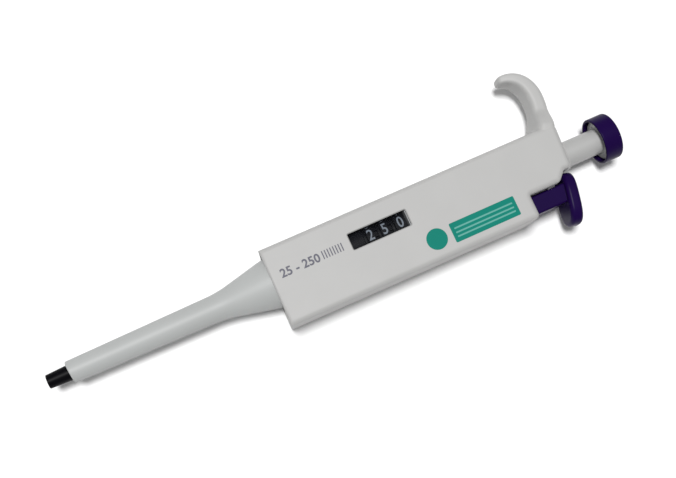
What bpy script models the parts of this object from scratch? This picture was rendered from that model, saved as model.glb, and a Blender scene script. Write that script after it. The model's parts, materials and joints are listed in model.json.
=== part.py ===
"""Single-channel adjustable micropipette, lying on its back.

The model is laid out in its own axis frame: X runs along the plunger axis from
the tip cone to the button, Y points to the finger hook, Z points out of the
front face with the counter window. Lengths are in metres.
"""
import math

import bmesh
import bpy
from mathutils import Matrix, Vector
from mathutils.geometry import interpolate_bezier

MM = 0.001

# Clearances
GAP = 0.3 * MM              # between pieces that touch or slide
STOP_PLAY = 0.35 * MM       # left between a stop face and what it stops
CAP_PLAY = 0.5 * MM         # cap rim above the body top when fully pressed
HEX_PLAY = 0.33 * MM        # between the spindle's hexagon and the stem, on each side
HEAD_PLAY = 0.5 * MM        # round the piston head
OVER = 1.0 * MM             # how far a cut runs past the face it opens

# Volume setting and strokes
VOLUME_STROKE = 12.5 * MM   # first stop
BLOWOUT_STROKE = 2.7 * MM   # first to second stop
SET_TRAVEL = 11.25 * MM     # spindle travel between the ends of the volume range
EJECT_STROKE = 8.0 * MM

# Housing
BODY_START = 89.9 * MM      # lower end of the housing, from the end of the tip cone
BODY_LENGTH = 102.0 * MM
NECK_LENGTH = 21.3 * MM
BODY_DEPTH = 24.0 * MM
HOOK_SIDE = 12.1 * MM       # axis to the housing face on the hook's side
EJECT_SIDE = 19.1 * MM      # axis to the housing face on the ejector's side
NECK_SIDE = 9.9 * MM        # the same on the neck
WALL = 1.3 * MM
EDGE_RADIUS = 2.2 * MM
SHOULDER_RADIUS = 2.6 * MM
NOTCH_LENGTH = 8.2 * MM     # cut-away corner of the neck in front of the thumb pad
NOTCH_DEPTH = 3.6 * MM
NOTCH_SLOPE = 3.4 * MM
TOP_LEAN = 1.4 * MM         # how far the top face falls back towards the ejector's side
COLLAR_R = 8.2 * MM         # foot of the collar round the button's stem
COLLAR_TOP_R = 5.95 * MM
COLLAR_HEIGHT = 1.5 * MM
COLLAR_STEPS = 5

# Finger hook
HOOK_ROOT_WIDTH = 23.7 * MM  # where it grows out of the housing
HOOK_WIDTH = 12.0 * MM
HOOK_TIP_WIDTH = 8.5 * MM
HOOK_ROOT_X = 4.7 * MM      # root of the spine below the housing's top
HOOK_BEND_X = -0.2 * MM     # outermost point of the spine below the housing's top
HOOK_TIP_X = 8.6 * MM
HOOK_ROOT_Y = 7.5 * MM
HOOK_BEND_Y = 25.6 * MM
HOOK_TIP_Y = 37.1 * MM
HOOK_ROOT_THICK = 8.6 * MM
HOOK_THICK = 6.6 * MM
HOOK_TIP_THICK = 3.6 * MM
HOOK_FILLET = 6.0 * MM
HOOK_STATIONS = 15
HOOK_SIDES = 16
HOOK_SQUARENESS = 4.0       # superellipse power of the section
HOOK_FILLET_END = 0.4       # share of the lower half over which the fillet runs out
HOOK_FLARE = 9.0 * MM       # height over which the hook narrows above the housing
# Curve handles of the spine as shares of its reach in X and rise in Y
HOOK_ROOT_HANDLE = (0.48, 0.34)
HOOK_BEND_HANDLES = (0.37, 0.59)
HOOK_TIP_HANDLE = (0.57, -0.04)
HOOK_THIN_POWER = 1.5       # how late the upper half thins
HOOK_TIP_RINGS = ((0.3, 0.86), (0.48, 0.5))     # reach and size of the closing rings
HOOK_TIP_FLAT = 0.4         # share of the tip's width that stays on those rings

# Tip cone and ejector sleeve
TIP_R = 2.65 * MM
TIP_BASE_R = 3.0 * MM
TIP_LENGTH = 24.0 * MM
TIP_EXPOSED = 8.0 * MM
TIP_BORE_R = 0.7 * MM
TIP_COLLAR = 4.0 * MM       # full thickness of the cone inside the sleeve
TIP_EDGE = 0.25 * MM
SEAT_WALL = 0.6 * MM        # shaft wall round the cone's spigot
SLEEVE_START = 7.75 * MM
SLEEVE_SLANT = 1.6 * MM     # how much further the slanted end is cut on the ejector's side
SLEEVE_R = 4.35 * MM
NECK_R = 5.15 * MM          # sleeve radius where its flare begins
FLARE_START = 68.3 * MM
FLARE_SOFT = 2.5 * MM       # half length of the bend into the flare
RIM_R = 9.9 * MM            # sleeve radius at the body
RIM_EDGE = 0.5 * MM
SLEEVE_WALL = 0.8 * MM
SKIRT_R = 8.6 * MM          # sleeve inside the housing
SKIRT_WALL = 0.75 * MM
SKIRT_LENGTH = 22.1 * MM    # from the body's end
LUG_LENGTH = 6.0 * MM
LUG_WIDTH = 6.0 * MM

# Shaft, cylinder and piston
SHAFT_LOW_R = 2.95 * MM     # thin lower part of the shaft
SHAFT_R = 3.6 * MM
SHAFT_SHOULDER = 2.0 * MM   # cone between the two
CYLINDER_BASE = 1.0 * MM    # cone below the cylinder
CYLINDER_FLOOR = 56.0 * MM
CYLINDER_R = 2.8 * MM
PISTON_R = 2.525 * MM
PISTON_PLAY = 0.8 * MM      # piston end above the cylinder's floor when fully pressed
SEAL_X = 76.0 * MM
SEAL_R = 4.2 * MM
SEAL_DEPTH = 4.3 * MM
CHAMBER_STEP = 3.3 * MM     # from the seal seat to the blow-out spring's step
INNER_CHAMBER_R = 4.8 * MM
CHAMBER_R = 5.7 * MM
THREAD_LENGTH = 6.3 * MM
THREAD_WALL = 0.9 * MM
HEAD_LENGTH = 3.0 * MM
HEAD_R = 5.4 * MM
ROD_R = 2.0 * MM
HEAD_WEB = 0.3 * MM         # between the sockets of the piston and the push rod
FLANGE_LENGTH = 2.1 * MM
RETAINER = 1.2 * MM
CHAMFER = 0.4 * MM
O_RING_SIDES = 8

# Springs
RETURN_COIL_R = 3.8 * MM
RETURN_WIRE_R = 0.3 * MM
RETURN_TURNS = 11
BLOWOUT_COIL_R = 5.05 * MM
BLOWOUT_WIRE_R = 0.35 * MM
BLOWOUT_TURNS = 7
EJECT_COIL_R = 2.3 * MM
EJECT_WIRE_R = 0.3 * MM
EJECT_TURNS = 8
CLOSED_PITCH = 2.1          # pitch of an end turn, in wire radii
COIL_STEPS = 12
WIRE_SIDES = 5

# Counter
WINDOW_START = 31.4 * MM    # from the body's lower end
WINDOW_LOW = -2.2 * MM
WINDOW_HIGH = 4.0 * MM
LENS_THICK = 1.0 * MM
LENS_INSET = 0.15 * MM
DRUM_PITCH = 5.85 * MM
SLOTS = 4
DRUM_R = 8.2 * MM
DISC_R = 6.4 * MM
DISC_LENGTH = 1.0 * MM
CARRY_DEPTH = 0.7 * MM      # notch in the disc
CARRY_WIDTH = 2.0 * MM
GEAR_LENGTH = 1.35 * MM
GEAR_TEETH = 20
PINION_TEETH = 8
MODULE = 0.73 * MM
TOOTH_RISE = 0.5 * MM       # tooth tip above the pitch circle
TOOTH_FALL = 0.62 * MM      # tooth root below the pitch circle
TOOTH_BASE = 0.5 * MM       # half thickness at the root
TOOTH_TIP = 0.2 * MM        # half thickness at the tip
MESH_PLAY = 0.04 * MM       # added to the gears' centre distance
PINION_PLAY = 1.1 * MM      # pinion teeth to the housing's back wall
PINION_SHAFT_R = 0.8 * MM
PLATE = 2.0 * MM
RAIL_THICK = 1.3 * MM
RAIL_WIDTH = 8.0 * MM
NUT_LENGTH = 8.0 * MM
NUT_FLATS = 14.0 * MM

# Spindle
SPINDLE_R = 4.5 * MM
SPINDLE_BORE_R = 2.3 * MM
SPINDLE_THREAD = 44.0 * MM
SPINDLE_FLATS = 6.6 * MM
HEX_GRIP = 4.25 * MM        # hexagon left inside the stem at the lowest setting
KEY_WIDTH = 1.0 * MM
KEY_DEPTH = 0.9 * MM

# Button
STEM_R = 5.075 * MM
STEM_INSERT = 21.2 * MM     # stem below the body's top at rest
STEM_FLANGE_R = 7.7 * MM
STEM_FLANGE = 1.8 * MM
CAP_R = 9.3 * MM
CAP_DEPTH = 7.7 * MM
CAP_WALL = 1.0 * MM
CAP_CHAMFER = 1.0 * MM
CAP_RIM = 0.35 * MM
CAP_RECESS = 1.6 * MM       # stem flange inside the cap's rim
CAP_STEPS = 4
ROD_SOCKET = 3.0 * MM
BUSH_LENGTH = 8.2 * MM
BUSH_R = 6.9 * MM
BUSH_FLANGE_R = 8.2 * MM
BUSH_FLANGE = 1.8 * MM

# Ejector
EJECT_STEM_HIGH = -10.2 * MM
EJECT_STEM_LOW = -17.5 * MM
EJECT_STEM_WIDTH = 11.0 * MM
EJECT_STEM_EDGE = 0.8 * MM
EJECT_STEM_INSERT = 6.9 * MM
PAD_LENGTH = 21.0 * MM
PAD_WIDTH = 15.5 * MM
PAD_THICK = 5.0 * MM
PAD_TILT = math.radians(13.0)
PAD_X = 16.9 * MM           # pad centre from the shoulder
PAD_Y = -16.8 * MM
PAD_EDGE = 1.1 * MM
PAD_STEPS = 10
POCKET_WALL = 0.5 * MM      # neck wall left between the pad's pocket and the stem bore
BAR_ROD_R = 1.5 * MM
BAR_HEIGHT = 4.4 * MM
BAR_THICK = 1.6 * MM
BAR_FOOT = 2.0 * MM
BAR_SOCKET = 4.0 * MM       # depth of the bar's rod in the ejector button
BAR_LAP = 2.0 * MM          # how far the rod runs into the flat strip
GUIDE_X = 73.1 * MM         # spring ledge from the body's lower end
GUIDE_THICK = 2.0 * MM

# Screws
SCREW_R = 0.9 * MM
SCREW_HEAD_R = 1.5 * MM
SCREW_HEAD = 1.2 * MM
POST_R = 2.2 * MM
POST_LENGTH = 7.0 * MM
WEB = 1.2 * MM              # web between a post and the wall
POST_INSET_Y = 1.1 * MM     # post to the wall on the ejector's side
POST_INSET_Z = 0.4 * MM     # post to the front and back walls
SCREW_INSET = 0.6 * MM      # screw head to the edge of the counter frame
HEAD_TAPER = (0.8, 0.35)    # radius share and length share of a screw head's chamfer
COVER_THICK = 2.0 * MM
COVER_SCREW = 6.0 * MM
FRAME_SCREW = 5.2 * MM

# Facets
SIDES = 32
FINE_SIDES = 20
HOLE_SIDES = 16
PILOT_SIDES = 12
ROUND_STEPS = 4
SHARP_ANGLE = math.radians(35)
MERGE = 0.0005 * MM
TINY = 0.0001 * MM

# Stations along the axis that follow from the sizes above
SHOULDER_X = BODY_START + BODY_LENGTH
TOP_X = SHOULDER_X + NECK_LENGTH
HALF_DEPTH = BODY_DEPTH / 2
PRESS = VOLUME_STROKE + BLOWOUT_STROKE
WINDOW_X = BODY_START + WINDOW_START
WINDOW_END = WINDOW_X + SLOTS * DRUM_PITCH
DRUM_LENGTH = DRUM_PITCH - GAP
PLATE_1 = WINDOW_X - GAP - PLATE
PLATE_2 = WINDOW_END
NUT_X = PLATE_2 + PLATE + GAP
PLATE_3 = NUT_X + NUT_LENGTH + GAP
FLANGE_X = PLATE_1 - GAP - FLANGE_LENGTH
HEAD_TOP = FLANGE_X - GAP
HEAD_X = HEAD_TOP - HEAD_LENGTH
PISTON_X = CYLINDER_FLOOR + PRESS + PISTON_PLAY
CHAMBER_X = SEAL_X + SEAL_DEPTH
BLOWOUT_X = CHAMBER_X + CHAMBER_STEP
SPINDLE_X = HEAD_TOP + GAP + STOP_PLAY + SET_TRAVEL
HEX_X = SPINDLE_X + SPINDLE_THREAD
STEM_X = TOP_X - STEM_INSERT
SPINDLE_TOP = STEM_X + HEX_GRIP + SET_TRAVEL
STEM_CEILING = SPINDLE_TOP + PRESS + GAP
CAP_X = TOP_X + PRESS + CAP_PLAY
CAP_END = CAP_X + CAP_DEPTH
CAVITY_Z = HALF_DEPTH - WALL
CAVITY_HIGH = HOOK_SIDE - WALL
CAVITY_LOW = -(EJECT_SIDE - WALL)
CAVITY_END = SHOULDER_X - WALL
SKIRT_END = BODY_START + SKIRT_LENGTH
SKIRT_BORE_R = SKIRT_R - SKIRT_WALL
CASE_R = SKIRT_BORE_R - GAP
SPINDLE_HOLE_R = SPINDLE_R + GAP
STEM_BORE_R = STEM_R + GAP
FLARE_SLOPE = (RIM_R - NECK_R) / (BODY_START - GAP - FLARE_START)
EJECT_Y = (EJECT_STEM_HIGH + EJECT_STEM_LOW) / 2
GUIDE_START = BODY_START + GUIDE_X
EJECT_STEM_X = SHOULDER_X - EJECT_STEM_INSERT
GEAR_PITCH_R = MODULE * GEAR_TEETH / 2
PINION_PITCH_R = MODULE * PINION_TEETH / 2
PINION_TIP_R = PINION_PITCH_R + TOOTH_RISE
MESH_DISTANCE = GEAR_PITCH_R + PINION_PITCH_R + MESH_PLAY
PINION_Z = -(CAVITY_Z - PINION_PLAY - PINION_TIP_R)
PINION_Y = -math.sqrt(MESH_DISTANCE ** 2 - PINION_Z ** 2)
PINION_ANGLE = math.atan2(PINION_Z, PINION_Y)
FRAME_HIGH = CAVITY_HIGH - GAP
FRAME_LOW = PINION_Y - PINION_SHAFT_R - GAP - RAIL_THICK
FRAME_SIDE = CAVITY_Z - GAP
POST_Y = CAVITY_LOW + POST_R + POST_INSET_Y
POST_Z = CAVITY_Z - POST_R - POST_INSET_Z
COVER_END = BODY_START + GAP + COVER_THICK
BUSH_END = CAVITY_END + BUSH_LENGTH
POCKET_FLOOR = -(STEM_BORE_R + POCKET_WALL)
ROD_TOP = STEM_CEILING + ROD_SOCKET
SPIGOT_X = TIP_EXPOSED + TIP_COLLAR
SEAT_R = SHAFT_LOW_R - SEAT_WALL
SEAL_X_LOW = SEAL_X + 2 * GAP + (SEAL_R - GAP - PISTON_R - GAP)
BAR_LOW = EJECT_Y - BAR_HEIGHT / 2

MATERIALS = {
    "body_white": ((0.56, 0.56, 0.55), 0.42, 0.0),
    "sleeve_white": ((0.50, 0.52, 0.515), 0.32, 0.0),
    "frame_grey": ((0.30, 0.31, 0.32), 0.5, 0.0),
    "button_purple": ((0.045, 0.012, 0.15), 0.3, 0.0),
    "tip_black": ((0.008, 0.008, 0.009), 0.35, 0.0),
    "drum_black": ((0.012, 0.013, 0.018), 0.45, 0.0),
    "lens_clear": ((0.80, 0.84, 0.86), 0.05, 0.0),
    "steel": ((0.62, 0.63, 0.65), 0.25, 1.0),
    "brass": ((0.70, 0.50, 0.22), 0.3, 1.0),
    "seal_white": ((0.80, 0.80, 0.78), 0.5, 0.0),
    "rubber_black": ((0.015, 0.015, 0.015), 0.7, 0.0),
}


# Shared modelling helpers

def material(name):
    """Return the named material, made on first use."""
    found = bpy.data.materials.get(name)
    if found:
        return found
    colour, roughness, metallic = MATERIALS[name]
    made = bpy.data.materials.new(name)
    made.use_nodes = True
    shader = made.node_tree.nodes["Principled BSDF"]
    shader.inputs["Base Color"].default_value = (*colour, 1.0)
    shader.inputs["Roughness"].default_value = roughness
    shader.inputs["Metallic"].default_value = metallic
    made.diffuse_color = (*colour, 1.0)
    return made


def finish(name, bm, look=None):
    """Turn a bmesh into an object, with its faces pointing out."""
    bmesh.ops.remove_doubles(bm, verts=bm.verts, dist=MERGE)
    bmesh.ops.recalc_face_normals(bm, faces=bm.faces)
    mesh = bpy.data.meshes.new(name)
    bm.to_mesh(mesh)
    bm.free()
    mesh.shade_smooth()
    mesh.set_sharp_from_angle(angle=SHARP_ANGLE)
    obj = bpy.data.objects.new(name, mesh)
    bpy.context.collection.objects.link(obj)
    if look:
        mesh.materials.append(material(look))
    return obj


def revolve(name, profile, look=None, sides=SIDES, closed=True):
    """Turn a profile of (x, radius) points about the X axis.

    A closed profile is a loop, as a tube has. An open one starts and ends on the axis.
    """
    bm = bmesh.new()
    verts = [bm.verts.new((x, r, 0.0)) for x, r in profile]
    count = len(verts) if closed else len(verts) - 1
    edges = [bm.edges.new((verts[i], verts[(i + 1) % len(verts)])) for i in range(count)]
    bmesh.ops.spin(bm, geom=verts + edges, axis=(1, 0, 0), cent=(0, 0, 0),
                   angle=math.tau, steps=sides, use_merge=True)
    return finish(name, bm, look)


def tube(name, start, end, inner, outer, look=None, sides=SIDES):
    """A plain round tube along X."""
    profile = [(start, inner), (start, outer), (end, outer), (end, inner)]
    return revolve(name, profile, look, sides)


def rod(name, start, end, radius, look=None, sides=SIDES):
    """A plain round bar along X."""
    profile = [(start, 0.0), (start, radius), (end, radius), (end, 0.0)]
    return revolve(name, profile, look, sides, closed=False)


def prism(name, outline, start, end, axis="Z", look=None):
    """Extrude an outline along Z (outline in X, Y) or along X (outline in Y, Z)."""
    bm = bmesh.new()
    if axis == "Z":
        verts = [bm.verts.new((a, b, start)) for a, b in outline]
        move = (0.0, 0.0, end - start)
    else:
        verts = [bm.verts.new((start, a, b)) for a, b in outline]
        move = (end - start, 0.0, 0.0)
    base = bm.faces.new(verts)
    grown = bmesh.ops.extrude_face_region(bm, geom=[base])
    moved = [v for v in grown["geom"] if isinstance(v, bmesh.types.BMVert)]
    bmesh.ops.translate(bm, verts=moved, vec=move)
    return finish(name, bm, look)


def block(name, low, high, look=None):
    """A box between two corners."""
    outline = [(low[0], low[1]), (high[0], low[1]), (high[0], high[1]), (low[0], high[1])]
    return prism(name, outline, low[2], high[2], "Z", look)


def polygon(sides, across_flats):
    """Corners of a regular polygon in the YZ plane, given across its flats."""
    radius = across_flats / 2 / math.cos(math.pi / sides)
    steps = [math.tau * i / sides for i in range(sides)]
    return [(radius * math.cos(a), radius * math.sin(a)) for a in steps]


def toothed(teeth, pitch_radius, phase=0.0):
    """Outline of a gear with trapezoid teeth in the YZ plane, one tooth centred on the phase."""
    root = pitch_radius - TOOTH_FALL
    tip = pitch_radius + TOOTH_RISE
    points = []
    for i in range(teeth):
        centre = phase + math.tau * i / teeth
        for radius, half in ((root, -TOOTH_BASE), (tip, -TOOTH_TIP), (tip, TOOTH_TIP), (root, TOOTH_BASE)):
            angle = centre + half / radius
            points.append((radius * math.cos(angle), radius * math.sin(angle)))
    return points


def rounded(corners, radii, steps=ROUND_STEPS):
    """Round the corners of an outline with arcs of the given radii."""
    points = []
    count = len(corners)
    for i, corner in enumerate(corners):
        here = Vector(corner)
        radius = radii[i]
        if radius == 0.0:
            points.append(tuple(here))
            continue
        back = (Vector(corners[i - 1]) - here).normalized()
        ahead = (Vector(corners[(i + 1) % count]) - here).normalized()
        half = back.angle(ahead) / 2
        centre = here + (back + ahead).normalized() * (radius / math.sin(half))
        first = here + back * (radius / math.tan(half)) - centre
        last = here + ahead * (radius / math.tan(half)) - centre
        turn = first.angle_signed(last)
        for k in range(steps + 1):
            step = Matrix.Rotation(-turn * k / steps, 2) @ first
            points.append(tuple(centre + step))
    return points


def combine(target, other, operation):
    """Apply an exact Boolean of the other object on the target, and remove the other."""
    cut = target.modifiers.new("combine", "BOOLEAN")
    cut.operation = operation
    cut.solver = "EXACT"
    cut.object = other
    graph = bpy.context.evaluated_depsgraph_get()
    mesh = bpy.data.meshes.new_from_object(target.evaluated_get(graph))
    target.modifiers.remove(cut)
    old = target.data
    name = old.name
    target.data = mesh
    bpy.data.meshes.remove(old)
    mesh.name = name
    bpy.data.objects.remove(other)
    return target


def cut(target, *cutters):
    """Take each cutter away from the target."""
    for cutter in cutters:
        combine(target, cutter, "DIFFERENCE")
    return target


def join(target, *others):
    """Unite each other object with the target."""
    for other in others:
        combine(target, other, "UNION")
    return target


def at(obj, x=0.0, y=0.0, z=0.0):
    """Place an object in the axis frame."""
    obj.location = (x, y, z)
    return obj


def shifted(obj, y, z):
    """Move a helper's mesh off the axis, leaving its origin where it is."""
    obj.data.transform(Matrix.Translation((0.0, y, z)))
    return obj


def coil(name, start, end, coil_radius, wire_radius, turns):
    """A steel compression spring between two seats, with closed ends."""
    steps = COIL_STEPS
    sides = WIRE_SIDES
    low = start + GAP + wire_radius
    high = end - GAP - wire_radius
    closed = CLOSED_PITCH * wire_radius
    count = int(turns * steps)
    rise = (high - low - 2 * closed) / (turns - 2)
    bm = bmesh.new()
    rings = []
    for i in range(count + 1):
        turn = i / steps
        if turn < 1:
            x = low + closed * turn
        elif turn > turns - 1:
            x = high - closed * (turns - turn)
        else:
            x = low + closed + rise * (turn - 1)
        angle = math.tau * turn
        out = Vector((0.0, math.cos(angle), math.sin(angle)))
        centre = out * coil_radius + Vector((x, 0.0, 0.0))
        ring = []
        for k in range(sides):
            around = math.tau * k / sides
            offset = out * math.cos(around) + Vector((math.sin(around), 0.0, 0.0))
            ring.append(bm.verts.new(centre + offset * wire_radius))
        rings.append(ring)
    for one, two in zip(rings, rings[1:]):
        for k in range(sides):
            bm.faces.new((one[k], one[(k + 1) % sides], two[(k + 1) % sides], two[k]))
    bm.faces.new(rings[0])
    bm.faces.new(list(reversed(rings[-1])))
    return finish(name, bm, "steel")


# Housing

def hook():
    """Finger hook: a flattened band swept along a curved spine that thins to its tip."""
    root = Vector((TOP_X - HOOK_ROOT_X, HOOK_ROOT_Y))
    bend = Vector((TOP_X - HOOK_BEND_X, HOOK_BEND_Y))
    tip = Vector((TOP_X - HOOK_TIP_X, HOOK_TIP_Y))
    rise = bend.y - root.y
    reach = tip.y - bend.y
    root_handle = Vector((HOOK_ROOT_HANDLE[0] * (bend.x - root.x), HOOK_ROOT_HANDLE[1] * rise))
    tip_handle = Vector((HOOK_TIP_HANDLE[0] * (bend.x - tip.x), HOOK_TIP_HANDLE[1] * reach))
    below = bend - Vector((0.0, HOOK_BEND_HANDLES[0] * rise))
    above = bend + Vector((0.0, HOOK_BEND_HANDLES[1] * reach))
    lower = interpolate_bezier(root, root + root_handle, below, bend, HOOK_STATIONS)
    upper = interpolate_bezier(bend, above, tip + tip_handle, tip, HOOK_STATIONS)
    spine = [Vector(p[:2]) for p in list(lower) + list(upper)[1:]]
    last = len(spine) - 1
    bm = bmesh.new()
    rings = []
    for i, point in enumerate(spine):
        ahead = spine[min(i + 1, last)] - spine[max(i - 1, 0)]
        out = Vector((ahead.y, -ahead.x)).normalized()
        share = i / last
        first = min(share * 2, 1.0)
        second = max(share * 2 - 1, 0.0)
        thick = HOOK_ROOT_THICK + (HOOK_THICK - HOOK_ROOT_THICK) * first * (2 - first)
        thick += (HOOK_TIP_THICK - HOOK_THICK) * second ** HOOK_THIN_POWER
        fillet = HOOK_FILLET * max(0.0, 1 - first / HOOK_FILLET_END) ** 2
        width = HOOK_WIDTH + (HOOK_TIP_WIDTH - HOOK_WIDTH) * second ** 2
        width += (HOOK_ROOT_WIDTH - HOOK_WIDTH) * flare_share(point.y)
        rings.append(hook_ring(bm, point, out, thick, fillet, width))
    # the tip closes over two shrinking rings
    along = (spine[last] - spine[last - 1]).normalized()
    for reach_share, size in HOOK_TIP_RINGS:
        point = spine[last] + along * (HOOK_TIP_THICK * reach_share)
        width = HOOK_TIP_WIDTH * (HOOK_TIP_FLAT + (1 - HOOK_TIP_FLAT) * size)
        rings.append(hook_ring(bm, point, out, HOOK_TIP_THICK * size, 0.0, width))
    for one, two in zip(rings, rings[1:]):
        for k in range(HOOK_SIDES):
            n = (k + 1) % HOOK_SIDES
            bm.faces.new((one[k], one[n], two[n], two[k]))
    bm.faces.new(rings[0])
    bm.faces.new(list(reversed(rings[-1])))
    return finish("hook", bm)


def flare_share(height):
    """Share of the hook's root width at a height: all in the housing, none above the flare."""
    share = min(max((height - HOOK_SIDE) / HOOK_FLARE, 0.0), 1.0)
    return (1 - share) ** 2 * (1 + 2 * share)


def hook_ring(bm, point, out, thick, fillet, width):
    """One superellipse section of the hook; the fillet widens its finger side."""
    ring = []
    power = 2 / HOOK_SQUARENESS
    for k in range(HOOK_SIDES):
        angle = math.tau * (k + 0.5) / HOOK_SIDES
        a = math.copysign(abs(math.cos(angle)) ** power, math.cos(angle))
        b = math.copysign(abs(math.sin(angle)) ** power, math.sin(angle))
        side = thick / 2 if a > 0 else thick / 2 + fillet
        place = point + out * (a * side)
        ring.append(bm.verts.new((place.x, place.y, b * width / 2)))
    return ring


def casing():
    """The outside of the housing: wide body, shoulder, neck and its cut-away corner."""
    notch = -NECK_SIDE + NOTCH_DEPTH
    corners = [
        (BODY_START, -EJECT_SIDE),
        (SHOULDER_X, -EJECT_SIDE),
        (SHOULDER_X, -NECK_SIDE),
        (TOP_X - NOTCH_LENGTH, -NECK_SIDE),
        (TOP_X - NOTCH_LENGTH + NOTCH_SLOPE, notch),
        (TOP_X - TOP_LEAN, notch),
        (TOP_X, HOOK_SIDE),
        (BODY_START, HOOK_SIDE),
    ]
    radii = [0.0, SHOULDER_RADIUS, 0.0, 0.0, 0.0, 0.0, 0.0, 0.0]
    obj = prism("housing", rounded(corners, radii), -HALF_DEPTH, HALF_DEPTH, "Z", "body_white")
    bm = bmesh.new()
    bm.from_mesh(obj.data)
    long_sides = []
    for edge in bm.edges:
        one, two = edge.verts
        flat = abs(one.co.z - two.co.z) < TINY
        at_end = max(one.co.x, two.co.x) < BODY_START + TINY
        if flat and not at_end:
            long_sides.append(edge)
    bmesh.ops.bevel(bm, geom=long_sides, offset=EDGE_RADIUS, segments=ROUND_STEPS, profile=0.5,
                    affect="EDGES")
    bm.to_mesh(obj.data)
    bm.free()
    return obj


def housing():
    """One-piece moulded housing: shell, hook, spring ledge, screw posts and openings."""
    obj = join(casing(), hook(), top_collar())
    cut(obj, block("cavity", (BODY_START - OVER, CAVITY_LOW, -CAVITY_Z),
                   (CAVITY_END, CAVITY_HIGH, CAVITY_Z)))
    into = WALL / 2
    ledge = block("ledge", (GUIDE_START, CAVITY_LOW - into, -CAVITY_Z - into),
                  (GUIDE_START + GUIDE_THICK, EJECT_STEM_HIGH + GAP, CAVITY_Z + into))
    join(obj, ledge)
    for side in (-1, 1):
        join(obj, *cover_post(side * POST_Z))
    guide_hole = rod("guide_hole", GUIDE_START - OVER, GUIDE_START + GUIDE_THICK + OVER, BAR_ROD_R + GAP,
                     sides=FINE_SIDES)
    cut(obj, shifted(guide_hole, EJECT_Y, 0.0))
    pilot_end = BODY_START + COVER_SCREW + 2 * SCREW_HEAD
    for side in (-1, 1):
        pilot = rod("pilot", BODY_START, pilot_end, SCREW_R + GAP, sides=PILOT_SIDES)
        cut(obj, shifted(pilot, POST_Y, side * POST_Z))
    # counter window
    cut(obj, block("window", (WINDOW_X - GAP, WINDOW_LOW - GAP, CAVITY_Z - OVER),
                   (WINDOW_END + GAP, WINDOW_HIGH + GAP, HALF_DEPTH + OVER)))
    # stem bore with the bush seat
    cut(obj, rod("bush_seat", CAVITY_END - OVER, BUSH_END + GAP, BUSH_R + GAP))
    collar_end = TOP_X + COLLAR_HEIGHT + OVER
    cut(obj, rod("stem_bore", CAVITY_END - OVER, collar_end, STEM_BORE_R))
    # ejector stem slot through the shoulder, with its channel in the wall
    half = EJECT_STEM_WIDTH / 2 + GAP
    cut(obj, block("stem_slot", (EJECT_STEM_X - EJECT_STROKE - OVER, EJECT_STEM_LOW - GAP, -half),
                   (SHOULDER_X + OVER, EJECT_STEM_HIGH + GAP, half)))
    # pocket in the neck that takes the thumb pad when it is pressed
    half = PAD_WIDTH / 2 + GAP
    cut(obj, block("pad_pocket", (pocket_x(), -NECK_SIDE - OVER, -half),
                   (collar_end, POCKET_FLOOR, half)))
    return obj


def top_collar():
    """Collar on the top face that curves up to the button's stem."""
    profile = [(TOP_X - WALL, 0.0), (TOP_X - WALL, COLLAR_R)]
    for i in range(COLLAR_STEPS + 1):
        angle = math.pi / 2 * i / COLLAR_STEPS
        radius = COLLAR_R - (COLLAR_R - COLLAR_TOP_R) * math.sin(angle)
        profile.append((TOP_X + COLLAR_HEIGHT * (1 - math.cos(angle)), radius))
    profile.append((TOP_X + COLLAR_HEIGHT, 0.0))
    return revolve("top_collar", profile, closed=False)


def cover_post(z):
    """A screw post of the end cover with the web that ties it to the wall."""
    start = COVER_END + GAP
    post = rod("post", start, start + POST_LENGTH, POST_R, sides=FINE_SIDES)
    web = block("web", (start + WEB, CAVITY_LOW - WALL / 2, z - WEB / 2),
                (start + POST_LENGTH - WEB, POST_Y, z + WEB / 2))
    return shifted(post, POST_Y, z), web


def pocket_x():
    """Lower end of the pocket, below the pressed pad."""
    face = PAD_THICK / 2 / math.cos(PAD_TILT)
    lean = (-NECK_SIDE - PAD_Y) * math.tan(PAD_TILT)
    return SHOULDER_X + PAD_X - face + lean - EJECT_STROKE - GAP


def end_cover():
    """Plate in the housing's mouth with the sleeve's opening and two sunk screw holes."""
    low = (CAVITY_LOW + GAP, -CAVITY_Z + GAP)
    high = (CAVITY_HIGH - GAP, CAVITY_Z - GAP)
    start = BODY_START + GAP
    obj = block("end_cover", (start, *low), (COVER_END, *high), "body_white")
    cut(obj, rod("opening", start - OVER, COVER_END + OVER, SKIRT_R + GAP))
    for z in (-POST_Z, POST_Z):
        hole = rod("hole", start - OVER, COVER_END + OVER, SCREW_R + GAP, sides=PILOT_SIDES)
        sink = rod("sink", start - OVER, start + SCREW_HEAD, SCREW_HEAD_R + GAP, sides=HOLE_SIDES)
        cut(obj, shifted(hole, POST_Y, z), shifted(sink, POST_Y, z))
    return obj


def screws(name, head_x, length, places):
    """Equal pan-head screws along X, one object for each place."""
    end = head_x + length
    share, reach = HEAD_TAPER
    under = head_x + SCREW_HEAD - GAP
    profile = [
        (head_x, 0.0),
        (head_x, SCREW_HEAD_R * share),
        (head_x + SCREW_HEAD * reach, SCREW_HEAD_R),
        (under, SCREW_HEAD_R),
        (under, SCREW_R),
        (end - SCREW_R, SCREW_R),
        (end, 0.0),
    ]
    made = []
    for i, (y, z) in enumerate(places):
        screw = revolve(f"{name}_{i + 1}", profile, "steel", PILOT_SIDES, closed=False)
        made.append(at(screw, 0.0, y, z))
    return made


def window_lens():
    """Clear plate in the window, a little below the front face."""
    top = HALF_DEPTH - LENS_INSET
    return block("window_lens", (WINDOW_X, WINDOW_LOW, top - LENS_THICK), (WINDOW_END, WINDOW_HIGH, top),
                 "lens_clear")


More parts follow.
